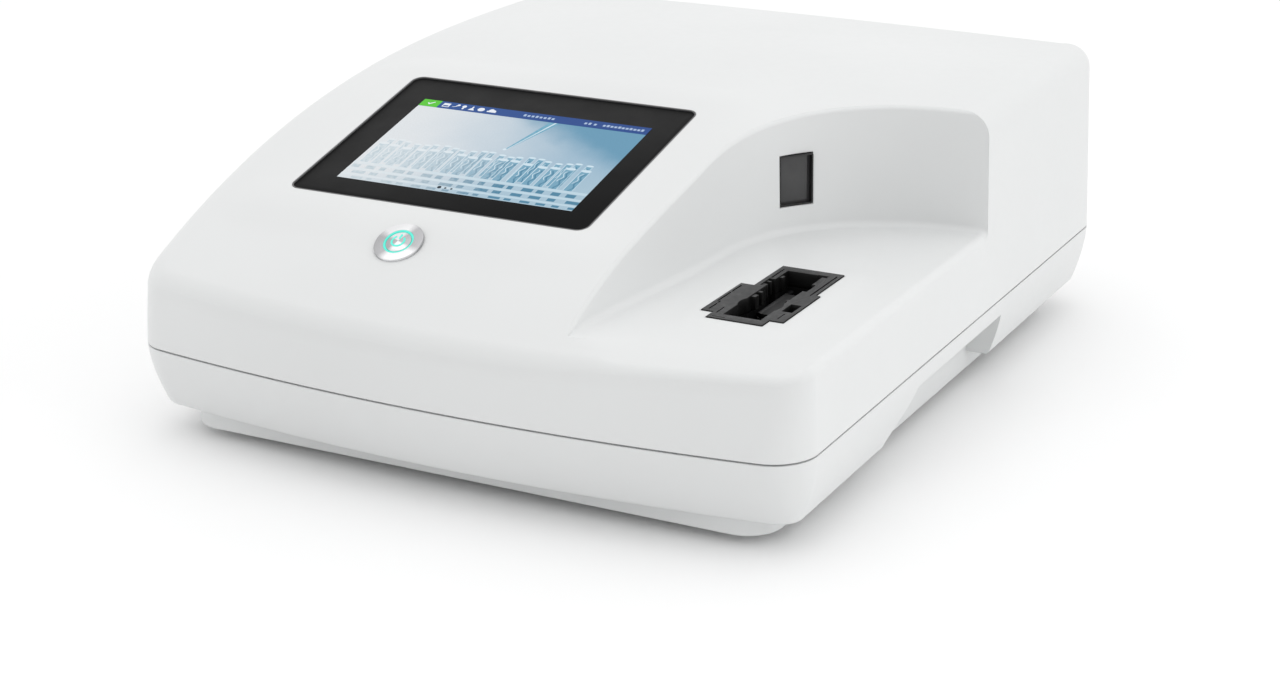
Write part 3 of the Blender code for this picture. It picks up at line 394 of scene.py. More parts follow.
def case_outline(front_steps, corner_steps, side_steps, rear_steps):
    """Plan at the parting line, counter-clockwise from the front left, as (point, outward normal)."""
    def half_width(y):
        return HALF_WIDTH - SIDE_TAPER * (y + HALF_DEPTH) / (2 * HALF_DEPTH)

    def front_y(x):
        return -HALF_DEPTH + BOW * (x / HALF_WIDTH) ** 2

    def corner(start, apex, end):
        points = []
        weight = math.sqrt(0.5)
        for k in range(1, corner_steps):
            t = k / corner_steps
            a, b, c = (1 - t) ** 2, 2 * weight * t * (1 - t), t * t
            points.append((start * a + apex * b + end * c) / (a + b + c))
        return points

    reach = HALF_WIDTH - CORNER_FRONT
    front = [Vector((x, front_y(x))) for x in
             (-reach + 2 * reach * k / front_steps for k in range(front_steps + 1))]
    apex = Vector((HALF_WIDTH, front_y(HALF_WIDTH)))
    side_low = apex.y + CORNER_FRONT
    side_high = HALF_DEPTH - CORNER_REAR
    right = []
    for k in range(side_steps + 1):
        y = side_low + (side_high - side_low) * k / side_steps
        right.append(Vector((half_width(y), y)))
    rear_apex = Vector((half_width(HALF_DEPTH), HALF_DEPTH))
    rear_right = Vector((rear_apex.x - CORNER_REAR, HALF_DEPTH))
    half = corner(front[-1], apex, right[0]) + right + corner(right[-1], rear_apex, rear_right) + [rear_right]
    mirrored = [Vector((-p.x, p.y)) for p in reversed(half)]
    rear = [Vector((rear_right.x * (1 - 2 * k / rear_steps), HALF_DEPTH)) for k in range(1, rear_steps)]
    points = front + half + rear + mirrored
    count = len(points)
    result = []
    for k, point in enumerate(points):
        along = (points[(k + 1) % count] - points[k]).normalized()
        along += (points[k] - points[k - 1]).normalized()
        result.append((point, Vector((along.y, -along.x)).normalized()))
    return result


def by_side(normal, front, rear, side):
    """The value for a wall that faces along the normal, mixed from those of the three kinds of wall."""
    return max(-normal.y, 0.0) ** 2 * front + max(normal.y, 0.0) ** 2 * rear + normal.x ** 2 * side


def wall_inset(normal, height):
    lean = FRONT_LEAN * (max(height, 0.0) / CREASE_HEIGHT) ** 1.7
    return by_side(normal, lean, REAR_DRAFT * height, SIDE_DRAFT * height)


def edge_radius(point, normal, inset, fine):
    side = EDGE_SIDE
    nose = EDGE_FRONT
    if fine:
        nose -= 2.0 + 2.0 * blend((point.x - 20.0) / 80.0)
        if point.x > 0 and point.y < RECESS_Y + RECESS_REACH_Y - RAMP:
            side = EDGE_DECK
    return by_side(normal, nose, EDGE_REAR, side) - inset * 0.5


def loft(bm, rings):
    """Skins a stack of rings and closes both ends. It gives back the last end."""
    for lower, upper in zip(rings, rings[1:]):
        for k in range(len(lower)):
            after = (k + 1) % len(lower)
            bm.faces.new((lower[k], lower[after], upper[after], upper[k]))
    bm.faces.new(rings[0])
    return bm.faces.new(rings[-1])


def split_lid(bm, lid, spacing, height):
    """Divides the lid into a grid and lays it on the given height."""
    faces = [lid]
    lines_y = [-HALF_DEPTH + spacing * k for k in range(1, int(2 * HALF_DEPTH / spacing))]
    lines_x = [-HALF_WIDTH + spacing * k for k in range(1, int(2 * HALF_WIDTH / spacing))]
    for normal, stops in (((0, 1, 0), lines_y), ((1, 0, 0), lines_x)):
        for stop in stops:
            geometry = set(faces)
            for face in faces:
                geometry.update(face.edges)
                geometry.update(face.verts)
            split = bmesh.ops.bisect_plane(
                bm, geom=list(geometry), plane_co=Vector(normal) * stop, plane_no=normal)
            faces = [item for item in split["geom"] if isinstance(item, bmesh.types.BMFace)]
    done = set()
    for face in faces:
        for vertex in face.verts:
            if vertex not in done:
                done.add(vertex)
                vertex.co.z = height(vertex.co.x, vertex.co.y)


def upper_form(name, inset, bottom, fine, mat=None):
    """The closed outer form of the upper housing, or its plainer inner form."""
    outline = case_outline(76, 14, 88, 60) if fine else case_outline(10, 5, 10, 6)
    shape = skin_height if fine else top_height
    rims = []
    for point, normal in outline:
        radius = edge_radius(point, normal, inset, fine)
        rims.append((point, normal, radius, shape(point.x, point.y) - inset - radius))
    bm = bmesh.new()
    rings = []
    levels = 9 if fine else 2
    for k in range(levels + 1):
        ring = []
        for point, normal, radius, crest in rims:
            height = bottom + (crest - bottom) * k / levels
            place = point - normal * (inset + wall_inset(normal, max(height - PARTING, 0.0)))
            ring.append(bm.verts.new((place.x, place.y, height)))
        rings.append(ring)
    arcs = 10 if fine else 3
    for k in range(1, arcs + 1):
        angle = math.pi / 2 * k / arcs
        ring = []
        for point, normal, radius, crest in rims:
            back = inset + wall_inset(normal, max(crest - PARTING, 0.0)) + radius * (1 - math.cos(angle))
            place = point - normal * back
            drop = radius * (1 - math.sin(angle))
            ring.append(bm.verts.new((place.x, place.y, shape(place.x, place.y) - inset - drop)))
        rings.append(ring)
    split_lid(bm, loft(bm, rings), 3.2 if fine else 22.0, lambda x, y: shape(x, y) - inset)
    return finish_mesh(name, bm, mat)


def wall_cutter(name):
    """Shapes the recess wall: a fillet at its foot, the leaning wall and a rounded crest."""
    band = 11.0
    lift = 0.02
    count = len(WALL_LINE)
    bm = bmesh.new()
    sections = []
    for k, point in enumerate(WALL_LINE):
        along = (WALL_LINE[min(k + 1, count - 1)] - WALL_LINE[max(k - 1, 0)]).normalized()
        outward = Vector((-along.y, along.x))

        def top_at(shift):
            place = point + outward * shift
            return top_height(min(place.x, HALF_WIDTH), max(place.y, -HALF_DEPTH))

        room = max(top_at(0.0) - RECESS_FLOOR, 0.0)
        fillet = max(min(WALL_FILLET, room * 0.45), 0.05)
        crest = max(min(WALL_CREST, room * 0.45), 0.05)
        past = min(max(point.x - (DECK_SIDE - EDGE_DECK), 0.0), EDGE_DECK)
        floor = RECESS_FLOOR + lift - EDGE_DECK + math.sqrt(EDGE_DECK ** 2 - past ** 2)
        profile = [(-band, floor), (-fillet - 0.4, floor)]
        for step in range(1, 8):
            angle = math.pi / 2 * step / 7
            profile.append((-fillet + fillet * math.sin(angle), floor + fillet * (1 - math.cos(angle))))
        full = max(top_at(RECESS_DRAFT * room) - crest, floor + fillet + 0.1)
        start = RECESS_DRAFT * (full - RECESS_FLOOR)
        profile.append((start, full))
        for step in range(1, 8):
            angle = math.radians(80) * step / 7
            shift = start + crest * (1 - math.cos(angle))
            height = max(top_at(shift) - crest + crest * math.sin(angle), full + 0.01 * step)
            profile.append((shift, height))
        profile += [(profile[-1][0], 260.0), (-band, 260.0)]
        sections.append([bm.verts.new((*(point + outward * shift), height)) for shift, height in profile])
    loft(bm, sections)
    return finish_mesh(name, bm, None)


def recess_tool(name, grow, floor):
    """A plain cutter for the recess, used for the inner side of the wall."""
    curve = [Vector((RECESS_LEFT, -BEYOND)), Vector((RECESS_LEFT, -150.0)), Vector((54.5, -102.0))]
    curve += [recess_bend(math.pi / 2 * k / 10) for k in range(11)]
    curve.append(Vector((170.0, RECESS_Y + RECESS_REACH_Y)))
    bm = bmesh.new()
    rings = []
    for height in (floor, 2 * TOP_RISE + PARTING):
        ring = []
        for k, point in enumerate(curve):
            along = (curve[min(k + 1, len(curve) - 1)] - curve[max(k - 1, 0)]).normalized()
            place = point + Vector((-along.y, along.x)) * (grow + RECESS_DRAFT * (height - RECESS_FLOOR))
            ring.append(bm.verts.new((place.x, place.y, height)))
        ring.append(bm.verts.new((170.0, -BEYOND, height)))
        rings.append(ring)
    loft(bm, rings)
    return finish_mesh(name, bm, None)


def skirt_inset(normal, depth):
    return (depth / SKIRT) ** 1.7 * by_side(normal, SKIRT_IN_FRONT, SKIRT_IN_REAR, SKIRT_IN_SIDE)


def skirt_form(name, inset, top, bottom, fine, mat=None, lip=0.0):
    outline = case_outline(76, 14, 60, 40) if fine else case_outline(10, 5, 10, 6)
    levels = 22 if fine else 6
    stations = [(bottom + lip + (top - bottom - lip) * k / levels, 0.0) for k in range(levels + 1)]
    if lip:
        rounding = []
        for k in range(5):
            angle = math.radians(90 - 18 * k)
            rounding.append((bottom + lip - lip * math.sin(angle), lip * (1 - math.cos(angle))))
        stations = rounding + stations
    bm = bmesh.new()
    rings = []
    for height, extra in stations:
        ring = []
        for point, normal in outline:
            place = point - normal * (inset + extra + skirt_inset(normal, max(PARTING - height, 0.0)))
            ring.append(bm.verts.new((place.x, place.y, height)))
        rings.append(ring)
    loft(bm, rings)
    return finish_mesh(name, bm, mat)


def display_matrix():
    return Matrix.Translation(DISPLAY_CENTRE) @ Matrix.Rotation(DISPLAY_TILT, 4, "X")


def display_outline(margin, corner, steps):
    half = DISPLAY_LENGTH / 2 + margin
    return rounded_rectangle(DISPLAY_WIDTH / 2 + margin, -half, half, corner, steps)


def display_box(name, half_x, half_y, low, high):
    return bake_place(box(name, (-half_x, -half_y, low), (half_x, half_y, high)), display_matrix())


def button_matrix():
    step = 0.5
    slope_x = (top_height(BUTTON_X + step, BUTTON_Y) - top_height(BUTTON_X - step, BUTTON_Y)) / (2 * step)
    slope_y = (top_height(BUTTON_X, BUTTON_Y + step) - top_height(BUTTON_X, BUTTON_Y - step)) / (2 * step)
    normal = Vector((-slope_x, -slope_y, 1.0)).normalized()
    at = Vector((BUTTON_X, BUTTON_Y, top_height(BUTTON_X, BUTTON_Y)))
    return Matrix.Translation(at) @ normal.to_track_quat("Z", "Y").to_matrix().to_4x4()


def window_matrix():
    side = Vector((0, 0, 1)).cross(WINDOW_FACING).normalized()
    turn = Matrix((side, Vector((0, 0, 1)), WINDOW_FACING)).transposed().to_4x4()
    return Matrix.Translation(WINDOW_CENTRE) @ turn


# ---------------------------------------------------------------- materials
class Shader:
    """A material with its Principled shader and the few node patterns used here."""

    def __init__(self, name, **values):
        self.material = bpy.data.materials.new(name)
        self.material.use_nodes = True
        self.tree = self.material.node_tree
        self.shader = self.tree.nodes["Principled BSDF"]
        for socket, value in values.items():
            self.shader.inputs[socket.replace("_", " ")].default_value = value
        self.place = self.tree.nodes.new("ShaderNodeTexCoord").outputs["Object"]

    def node(self, kind, **settings):
        made = self.tree.nodes.new("ShaderNode" + kind)
        for key, value in settings.items():
            setattr(made, key, value)
        return made

    def join(self, output, target):
        self.tree.links.new(output, target)

    def sum_up(self, kind, operation, *values, **settings):
        """A Math or VectorMath node, fed with sockets and plain values."""
        made = self.node(kind, operation=operation, **settings)
        for socket, value in zip(made.inputs, values):
            if isinstance(value, bpy.types.NodeSocket):
                self.join(value, socket)
            else:
                socket.default_value = value
        return made.outputs

    def axes(self, vector):
        parts = self.node("SeparateXYZ")
        self.join(vector, parts.inputs["Vector"])
        return parts.outputs

    def bundle(self, *values):
        made = self.node("CombineXYZ")
        for socket, value in zip(made.inputs, values):
            self.join(value, socket)
        return made.outputs["Vector"]

    def stretched(self, scale):
        mapping = self.node("Mapping")
        mapping.inputs["Scale"].default_value = scale
        self.join(self.place, mapping.inputs["Vector"])
        return mapping.outputs["Vector"]

    def noise(self, size, detail=3.0, stretch=(1, 1, 1)):
        """Noise whose grains are about as large as the size in millimetres."""
        texture = self.node("TexNoise")
        texture.inputs["Scale"].default_value = 1.0 / (size * MM)
        texture.inputs["Detail"].default_value = detail
        self.join(self.stretched(stretch), texture.inputs["Vector"])
        return texture.outputs["Fac"]

    def ramp(self, value, low, high, start=0.3, end=0.7):
        made = self.node("ValToRGB")
        made.color_ramp.elements[0].position = start
        made.color_ramp.elements[1].position = end
        made.color_ramp.elements[0].color = (*low, 1.0)
        made.color_ramp.elements[1].color = (*high, 1.0)
        self.join(value, made.inputs["Fac"])
        return made.outputs["Color"]

    def mapped(self, value, start, end, low=0.0, high=1.0, kind="LINEAR"):
        made = self.node("MapRange", interpolation_type=kind)
        for label, number in (("From Min", start), ("From Max", end), ("To Min", low), ("To Max", high)):
            made.inputs[label].default_value = number
        self.join(value, made.inputs["Value"])
        return made.outputs["Result"]

    def spread(self, value, low, high):
        """The middle of a noise, drawn out between two values."""
        return self.mapped(value, 0.3, 0.7, low, high)

    def bump(self, value, height, edge=0.0):
        made = self.node("Bump")
        made.inputs["Strength"].default_value = 1.0
        made.inputs["Distance"].default_value = height * MM
        self.join(value, made.inputs["Height"])
        if edge:
            soft = self.node("Bevel", samples=6)
            soft.inputs["Radius"].default_value = edge * MM
            self.join(soft.outputs["Normal"], made.inputs["Normal"])
        self.join(made.outputs["Normal"], self.shader.inputs["Normal"])

    def colour(self, output):
        self.join(output, self.shader.inputs["Base Color"])

    def rough(self, output):
        self.join(output, self.shader.inputs["Roughness"])

    def glow(self, output):
        self.join(output, self.shader.inputs["Emission Color"])


def moulded(name, dark, light, roughness, grain=0.45, height=0.012, edge=0.0, patch=60.0, **values):
    """Moulded plastic or rubber: a faint change of tone, and a fine spark-eroded grain."""
    made = Shader(name, **values)
    made.colour(made.ramp(made.noise(patch, 2.0), dark, light))
    fine = made.noise(grain, 2.0)
    made.rough(made.spread(made.noise(grain * 9), roughness - 0.04, roughness + 0.04))
    made.bump(fine, height, edge=edge)
    return made.material


def insert_plastic():
    """Black plastic with painted light: upright walls are painted dark, as in the shade between them, and
    faces that look up are painted paler, as if lit from above, in uneven patches.
    """
    made = Shader("insert_plastic", Specular_IOR_Level=0.3)
    facing = made.axes(made.node("NewGeometry").outputs["Normal"])
    patches = made.spread(made.noise(4.0), 0.75, 1.0)
    # painted light: the colour follows the way each face turns, paler on top and darker on upright walls
    painted_top_light = made.sum_up("Math", "MULTIPLY", facing["Z"], patches, use_clamp=True)["Value"]
    made.colour(made.ramp(painted_top_light, (0.004, 0.004, 0.004), (0.050, 0.050, 0.051), 0.2, 1.0))
    made.rough(made.spread(made.noise(3.0), 0.42, 0.52))
    made.bump(made.noise(0.3, 2.0), 0.02, edge=0.15)
    return made.material


def worked_metal(name, dark, light, roughness, stretch=(1, 1, 1), grain=0.5, height=0.006):
    """Brushed, cast or plated metal. The stretch draws the grain out along an axis."""
    made = Shader(name, Metallic=1.0)
    made.colour(made.ramp(made.noise(8.0, 3.0, stretch), dark, light))
    made.rough(made.spread(made.noise(grain, 3.0, stretch), roughness - 0.08, roughness + 0.08))
    made.bump(made.noise(grain, 2.0, stretch), height)
    return made.material


def glassy(name, tint, clearness):
    """Clear or tinted glass."""
    made = Shader(name, IOR=1.5, Transmission_Weight=clearness)
    made.colour(made.ramp(made.noise(12.0), tint, tuple(c * 0.93 for c in tint)))
    made.rough(made.spread(made.noise(6.0), 0.03, 0.05))
    return made.material


def circular_brush(name, dark, light, roughness):
    """Metal turned on a lathe: fine rings round the local Z axis, and a painted sheen, light and dark sectors
    round it painted into its colour.
    """
    made = Shader(name, Metallic=1.0, Anisotropic=0.6)
    parts = made.axes(made.place)
    flat = made.bundle(parts["X"], parts["Y"])
    ring = made.bundle(made.sum_up("VectorMath", "LENGTH", flat)["Value"])
    texture = made.node("TexNoise")
    texture.inputs["Scale"].default_value = 9000.0
    texture.inputs["Detail"].default_value = 2.0
    made.join(ring, texture.inputs["Vector"])
    unit = made.sum_up("VectorMath", "NORMALIZE", flat)["Vector"]
    along = made.sum_up("VectorMath", "DOT_PRODUCT", unit, (0.9, 0.44, 0.0))["Value"]
    painted_sheen = made.sum_up("Math", "MULTIPLY", along, along)["Value"]
    # painted sheen: the colour goes from light to dark round the axis, as a reflection would
    made.colour(made.ramp(painted_sheen, light, dark))
    made.rough(made.spread(texture.outputs["Fac"], roughness - 0.04, roughness + 0.04))
    made.bump(texture.outputs["Fac"], 0.0012)
    return made.material


def glowing(name, colour, strength):
    """A lit, slightly uneven plastic light guide."""
    made = Shader(name, Emission_Strength=strength, Roughness=0.35)
    made.shader.inputs["Base Color"].default_value = (*(c * 0.3 for c in colour), 1.0)
    paler = tuple(min(1.0, c * 1.08 + 0.02) for c in colour)
    made.glow(made.ramp(made.noise(1.2), colour, paler))
    return made.material


def circuit_board():
    """Solder mask with fine tracks and pads."""
    made = Shader("circuit_board")
    tracks = made.node("TexBrick")
    tracks.inputs["Scale"].default_value = 260.0
    tracks.inputs["Mortar Size"].default_value = 0.06
    tracks.inputs["Color1"].default_value = (0.012, 0.12, 0.05, 1)
    tracks.inputs["Color2"].default_value = (0.016, 0.15, 0.06, 1)
    tracks.inputs["Mortar"].default_value = (0.05, 0.28, 0.12, 1)
    made.join(made.place, tracks.inputs["Vector"])
    made.colour(tracks.outputs["Color"])
    made.rough(made.spread(made.noise(3.0), 0.3, 0.45))
    made.bump(tracks.outputs["Fac"], 0.02)
    return made.material


def screen_shader(name):
    """A part of the display's picture, which only shines."""
    made = Shader(name, Emission_Strength=1.0, Roughness=0.3, Specular_IOR_Level=0.05)
    made.shader.inputs["Base Color"].default_value = (0.01, 0.01, 0.012, 1.0)
    return made


def screen_material(name, left, right):
    """A part of the display's picture whose colour changes from left to right."""
    made = screen_shader(name)
    width = PICTURE_WIDTH * MM
    across = made.mapped(made.axes(made.place)["X"], -0.45 * width, 0.42 * width, 0.06, 0.94, "SMOOTHSTEP")
    uneven = made.sum_up("Math", "MULTIPLY_ADD", made.noise(1.6), 0.5, across)["Value"]
    made.glow(made.ramp(uneven, left, right, 0.2, 1.0))
    return made.material


def picture_material():
    """The picture behind the tubes: pale at the left and blue at the right, with a cloud at the top right."""
    made = screen_shader("display_picture")
    parts = made.axes(made.stretched((1 / MM, 1 / MM, 1 / MM)))

    def weighted_sum(x_share, y_share, noise_share, size):
        bundle = made.bundle(parts["X"], parts["Y"], made.noise(size))
        return made.sum_up("VectorMath", "DOT_PRODUCT", bundle, (x_share, y_share, noise_share))["Value"]

    def smooth(value, start, end):
        return made.mapped(value, start, end, kind="SMOOTHSTEP")

    def mixed(share, first, second):
        step = made.node("Mix", data_type="RGBA")
        made.join(share, step.inputs["Factor"])
        for label, value in (("A", first), ("B", second)):
            target = [s for s in step.inputs if s.name == label and s.type == "RGBA"][0]
            if isinstance(value, tuple):
                target.default_value = (*value, 1.0)
            else:
                made.join(value, target)
        return [s for s in step.outputs if s.type == "RGBA"][0]

    across = smooth(weighted_sum(1.0, 0.2, 26.0, 24.0), -38.0, 62.0)
    base = mixed(across, (0.72, 0.75, 0.77), (0.33, 0.48, 0.60))
    cloud = smooth(weighted_sum(0.55, 1.0, 14.0, 18.0), 27.0, 47.0)
    base = mixed(cloud, base, (0.13, 0.31, 0.45))
    low = smooth(weighted_sum(0.35, -1.0, 10.0, 14.0), 14.0, 48.0)
    base = mixed(low, base, (0.38, 0.53, 0.63))
    fine = mixed(smooth(made.noise(0.55, 2.0), 0.25, 0.8), (0.95, 0.95, 0.95), (1.04, 1.04, 1.05))
    made.glow(made.sum_up("VectorMath", "MULTIPLY", base, fine)["Vector"])
    return made.material


def make_materials():
    made = {}
    made["white"] = moulded("white_plastic", (0.735, 0.745, 0.745), (0.755, 0.765, 0.765), 0.42, edge=0.5,
                            patch=90.0, Specular_IOR_Level=0.35)
    made["insert"] = insert_plastic()
    made["black"] = moulded("black_plastic", (0.0035, 0.0035, 0.0036), (0.006, 0.006, 0.0062), 0.55,
                            grain=0.3, height=0.02, patch=8.0, Specular_IOR_Level=0.2)
    made["rubber"] = moulded("rubber", (0.02, 0.02, 0.02), (0.032, 0.032, 0.032), 0.85, grain=0.5,
                             height=0.03, patch=6.0)
    made["glass_black"] = moulded("display_border", (0.0045, 0.0045, 0.0047), (0.0055, 0.0055, 0.0058), 0.45,
                                  grain=2.0, height=0.0005, patch=40.0, Specular_IOR_Level=0.05)
    # painted highlight: the gasket's grey is lighter than the part itself, so that it stands in for the light
    # line along the display's edge
    made["gasket"] = moulded("display_gasket", (0.11, 0.11, 0.112), (0.15, 0.15, 0.152), 0.4, grain=0.5,
                             height=0.004, patch=12.0, Specular_IOR_Level=0.3)
    # the button's steel carries a painted sheen, light and dark sectors round its middle
    made["button_steel"] = circular_brush("button_steel", (0.44, 0.44, 0.45), (0.80, 0.80, 0.81), 0.28)
    made["glow"] = glowing("button_light", (0.09, 0.74, 0.60), 0.85)
    made["steel"] = worked_metal("plated_steel", (0.42, 0.42, 0.43), (0.58, 0.58, 0.59), 0.32, (1, 1, 0.2))
    made["bright"] = worked_metal("sheet_steel", (0.60, 0.60, 0.61), (0.74, 0.74, 0.75), 0.28, (0.15, 1, 1))
    made["spring"] = worked_metal("spring_steel", (0.35, 0.35, 0.36), (0.5, 0.5, 0.51), 0.25, (1, 1, 1), 0.2)
    # painted shade: a dark metal that makes the shutter's pin and spring as dark as the shade in the slot
    # round them
    made["painted_shade_dark"] = worked_metal("steel_painted_shade", (0.018, 0.018, 0.02), (0.03, 0.03, 0.032), 0.45)
    made["cast"] = worked_metal("cast_aluminium", (0.48, 0.49, 0.50), (0.60, 0.61, 0.62), 0.5, (1, 1, 1),
                                0.8, 0.05)
    made["anodised"] = moulded("anodised_black", (0.018, 0.018, 0.02), (0.03, 0.03, 0.032), 0.38, grain=0.25,
                               height=0.008, patch=10.0, Metallic=0.6)
    made["brass"] = worked_metal("brass", (0.55, 0.40, 0.14), (0.72, 0.54, 0.22), 0.3, (1, 1, 0.3), 0.4)
    made["mirror"] = worked_metal("mirror_coating", (0.86, 0.87, 0.88), (0.92, 0.93, 0.94), 0.1, (1, 1, 1),
                                  3.0, 0.0002)
    made["ceramic"] = moulded("ceramic", (0.70, 0.67, 0.60), (0.80, 0.78, 0.72), 0.6, grain=0.6, height=0.03,
                              patch=4.0)
    made["clear"] = glassy("clear_glass", (0.90, 0.94, 0.95), 0.9)
    made["window"] = moulded("window_glass", (0.042, 0.042, 0.043), (0.052, 0.052, 0.053), 0.08, grain=4.0,
                             height=0.0005, patch=10.0)
    made["window_frame"] = moulded("window_frame", (0.006, 0.006, 0.006), (0.009, 0.009, 0.009), 0.35,
                                   grain=0.8, height=0.003, patch=5.0)
    made["board"] = circuit_board()
    made["cable"] = moulded("flat_cable", (0.60, 0.62, 0.66), (0.70, 0.72, 0.75), 0.4, grain=0.8, height=0.02,
                            patch=3.0)
    made["picture"] = picture_material()
    return made


# ---------------------------------------------------------------- case pieces
VENT_TURN = Matrix.Rotation(math.radians(90), 4, "X")


def build_upper(mats):
    housing = upper_form("case_upper", 0.0, PARTING + GROOVE / 2, True, mats["white"])
    cut(housing, wall_cutter("wall_cutter"))
    hollow = upper_form("hollow", WALL, PARTING - 6, False)
    keep = [recess_tool("keep_recess", WALL, RECESS_FLOOR - WALL)]
    keep.append(display_box("keep_display", DISPLAY_WIDTH / 2 + 4, DISPLAY_LENGTH / 2 + 4, -5.0, 30.0))
    keep += rods_at(SCREW_PLACES, "keep_boss", 4.5, PARTING + GAP, 160)
    cut(hollow, *keep)
    seat = prism("glass_seat", display_outline(GAP, 4.8, 8), -GLASS_THICKNESS - GAP, 30.0)
    tools = [hollow, bake_place(seat, display_matrix())]
    tools.append(display_box("display_opening", 62.0, 43.0, -20.0, 1.0))
    hole = turned("button_hole", [(0, -12), (8.1, -12), (8.1, 12), (0, 12)])
    tools.append(bake_place(hole, button_matrix()))
    tools.append(prism("insert_hole", grown(INSERT_OUTLINE, GAP), RECESS_FLOOR - 12, RECESS_FLOOR + 4))
    tools.append(bake_place(box("window_hole", (-7.8, -10.8, -12.0), (7.8, 10.8, 8.0)), window_matrix()))
    for k in range(8):
        x = -17.5 + 5 * k
        slot = prism("vent", rounded_rectangle(1.3, 50.0, 84.0, 1.25, 5), -175.0, -155.0)
        tools.append(bake_place(slot, Matrix.Translation((x, 0, 0)) @ VENT_TURN))
    tools += rods_at(SCREW_PLACES, "pilot", 1.9, PARTING - 2, PARTING + 12, 12)
    evened(cut(housing, *tools))
    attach(housing, "case")
    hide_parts("upper_housing")


def grip_tool(name, side, margin, inner, steps=24):
    """What scoops out one grip. Its front end leans, its other sides are straight."""
    rise = GRIP_TOP - SKIRT_BOTTOM
    foot = GRIP_FRONT - 8 - margin
    outline = [(foot, -5.0), (foot, SKIRT_BOTTOM)]
    for k in range(1, steps + 1):
        share = k / steps
        outline.append((foot + 24 * blend(share) ** 0.7 * share ** 0.3,
                        SKIRT_BOTTOM + (rise + margin) * share))
    outline += [(GRIP_REAR + margin, GRIP_TOP + margin), (GRIP_REAR + margin, -5.0)]
    bm = bmesh.new()
    extruded(bm, [(side * inner, y, z) for y, z in outline], (side * (160 - inner), 0, 0))
    return finish_mesh(name, bm, None)


def build_lower(mats):
    housing = skirt_form("case_lower", 0.0, PARTING - GROOVE / 2, SKIRT_BOTTOM, True, mats["white"],
                         SKIRT_LIP)
    plinth = prism("plinth", rounded_rectangle(PLINTH_HALF_WIDTH, PLINTH_FRONT, PLINTH_REAR, 14, 12),
                   FOOT_HEIGHT, SKIRT_BOTTOM + 1)
    tongue = skirt_form("tongue", WALL + GAP + 0.6, PARTING + 2.5, SKIRT_BOTTOM + 2, False)
    add(housing, plinth, tongue)
    hollow = skirt_form("hollow", WALL + GAP + 1.9, PARTING + 6, SKIRT_BOTTOM + WALL, False)
    pit = rounded_rectangle(PLINTH_HALF_WIDTH - WALL, PLINTH_FRONT + WALL, PLINTH_REAR - WALL, 11)
    pit = prism("pit", pit, FOOT_HEIGHT + WALL, SKIRT_BOTTOM + WALL + 1)
    add(hollow, pit)
    keep = [grip_tool("keep_grip", side, WALL, PLINTH_HALF_WIDTH - WALL, 6) for side in (-1, 1)]
    keep.append(box("keep_panel", (-137.0, 160.0, 9.0), (-47.0, 172.0, 48.0)))
    keep += rods_at(SCREW_PLACES, "keep_boss", 6.0, 0, PARTING - GAP)
    keep += rods_at(POST_PLACES, "keep_post", 3.0, 0, 19.7, 12)
    cut(hollow, *keep)
    tools = [hollow]
    tools += [grip_tool("grip", side, 0.0, PLINTH_HALF_WIDTH) for side in (-1, 1)]
    tools.append(box("panel_opening", (-128.0, 155.0, 19.0), (-51.5, 176.0, PARTING - 2)))
    tools.append(box("panel_seat", (-130.3, 150.0, 17.0), (-48.7, 160.0, PARTING - 1.2)))
    for x, y in SCREW_PLACES:
        tools.append(rod("counterbore", (x, y, 0), "z", 4.0, 0, 24.0))
        tools.append(rod("screw_hole", (x, y, 0), "z", 1.9, 20, 60, steps=12))
    tools += rods_at(FOOT_PLACES, "foot_hole", 2.8, 0, 12, 12)
    for k in range(8):
        x = -28 + 8 * k
        slot = [(x + px, y) for px, y in rounded_rectangle(1.5, -126.0, -90.0, 1.45, 5)]
        tools.append(prism("intake", slot, 0.0, 12.0))
    evened(cut(housing, *tools))
    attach(housing, "case")
    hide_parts("lower_housing")


# ---------------------------------------------------------------- display
def screen_plates(name, outlines, top, mat):
    """Thin lit shapes on the display, in the picture's own frame."""
    bm = bmesh.new()
    for outline in outlines:
        extruded(bm, [(x, y, top - PLATE) for x, y in outline], (0, 0, PLATE))
    plates = finish_mesh(name, bm, mat)
    at = display_matrix() @ Matrix.Translation((*PICTURE_SHIFT, -GLASS_SUNK))
    set_place(plates, at)
    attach(plates, "case")


def rectangle(low_x, low_y, high_x, high_y):
    return [(low_x, low_y), (high_x, low_y), (high_x, high_y), (low_x, high_y)]


def disc(x, y, radius, steps=20, flat=1.0):
    return [(x + px, y + flat * py) for px, py in circle(radius, steps)]


def ribbon(path, half):
    """A band of the given half width beside a list of points that runs downwards."""
    return [(x - half, y) for x, y in path] + [(x + half, y) for x, y in reversed(path)]


def tube_row(first, period, count, top, bottom, radius, phase):
    """Outlines of a row of glass tubes: their bodies, bright edges and lips, and wavy shadows."""
    bodies, lights, shadows = [], [], []
    for k in range(count):
        x = first + period * k + 0.5 * math.sin(2.1 * k + phase)
        high = top + 0.9 * math.sin(1.3 * k + phase)
        bodies.append(rectangle(x - radius, bottom, x + radius, high))
        lights.append(disc(x, high, radius * 1.12, 16, 0.42))
        lights.append(rectangle(x - radius, bottom, x - radius + 0.28, high - 0.6))
        lights.append(rectangle(x + radius - 0.2, bottom, x + radius, high - 0.6))
        levels = [high - 2.2 - (high - 2.2 - bottom) * j / 12 for j in range(13)]
        path = [(x + radius * (0.35 + 0.3 * math.sin(1.1 * y + k)), y) for y in levels]
        shadows.append(ribbon(path, 0.17 * radius))
        lights.append(ribbon([(px - 0.55 * radius, y) for px, y in path[:8]], 0.09 * radius))
    return bodies, lights, shadows


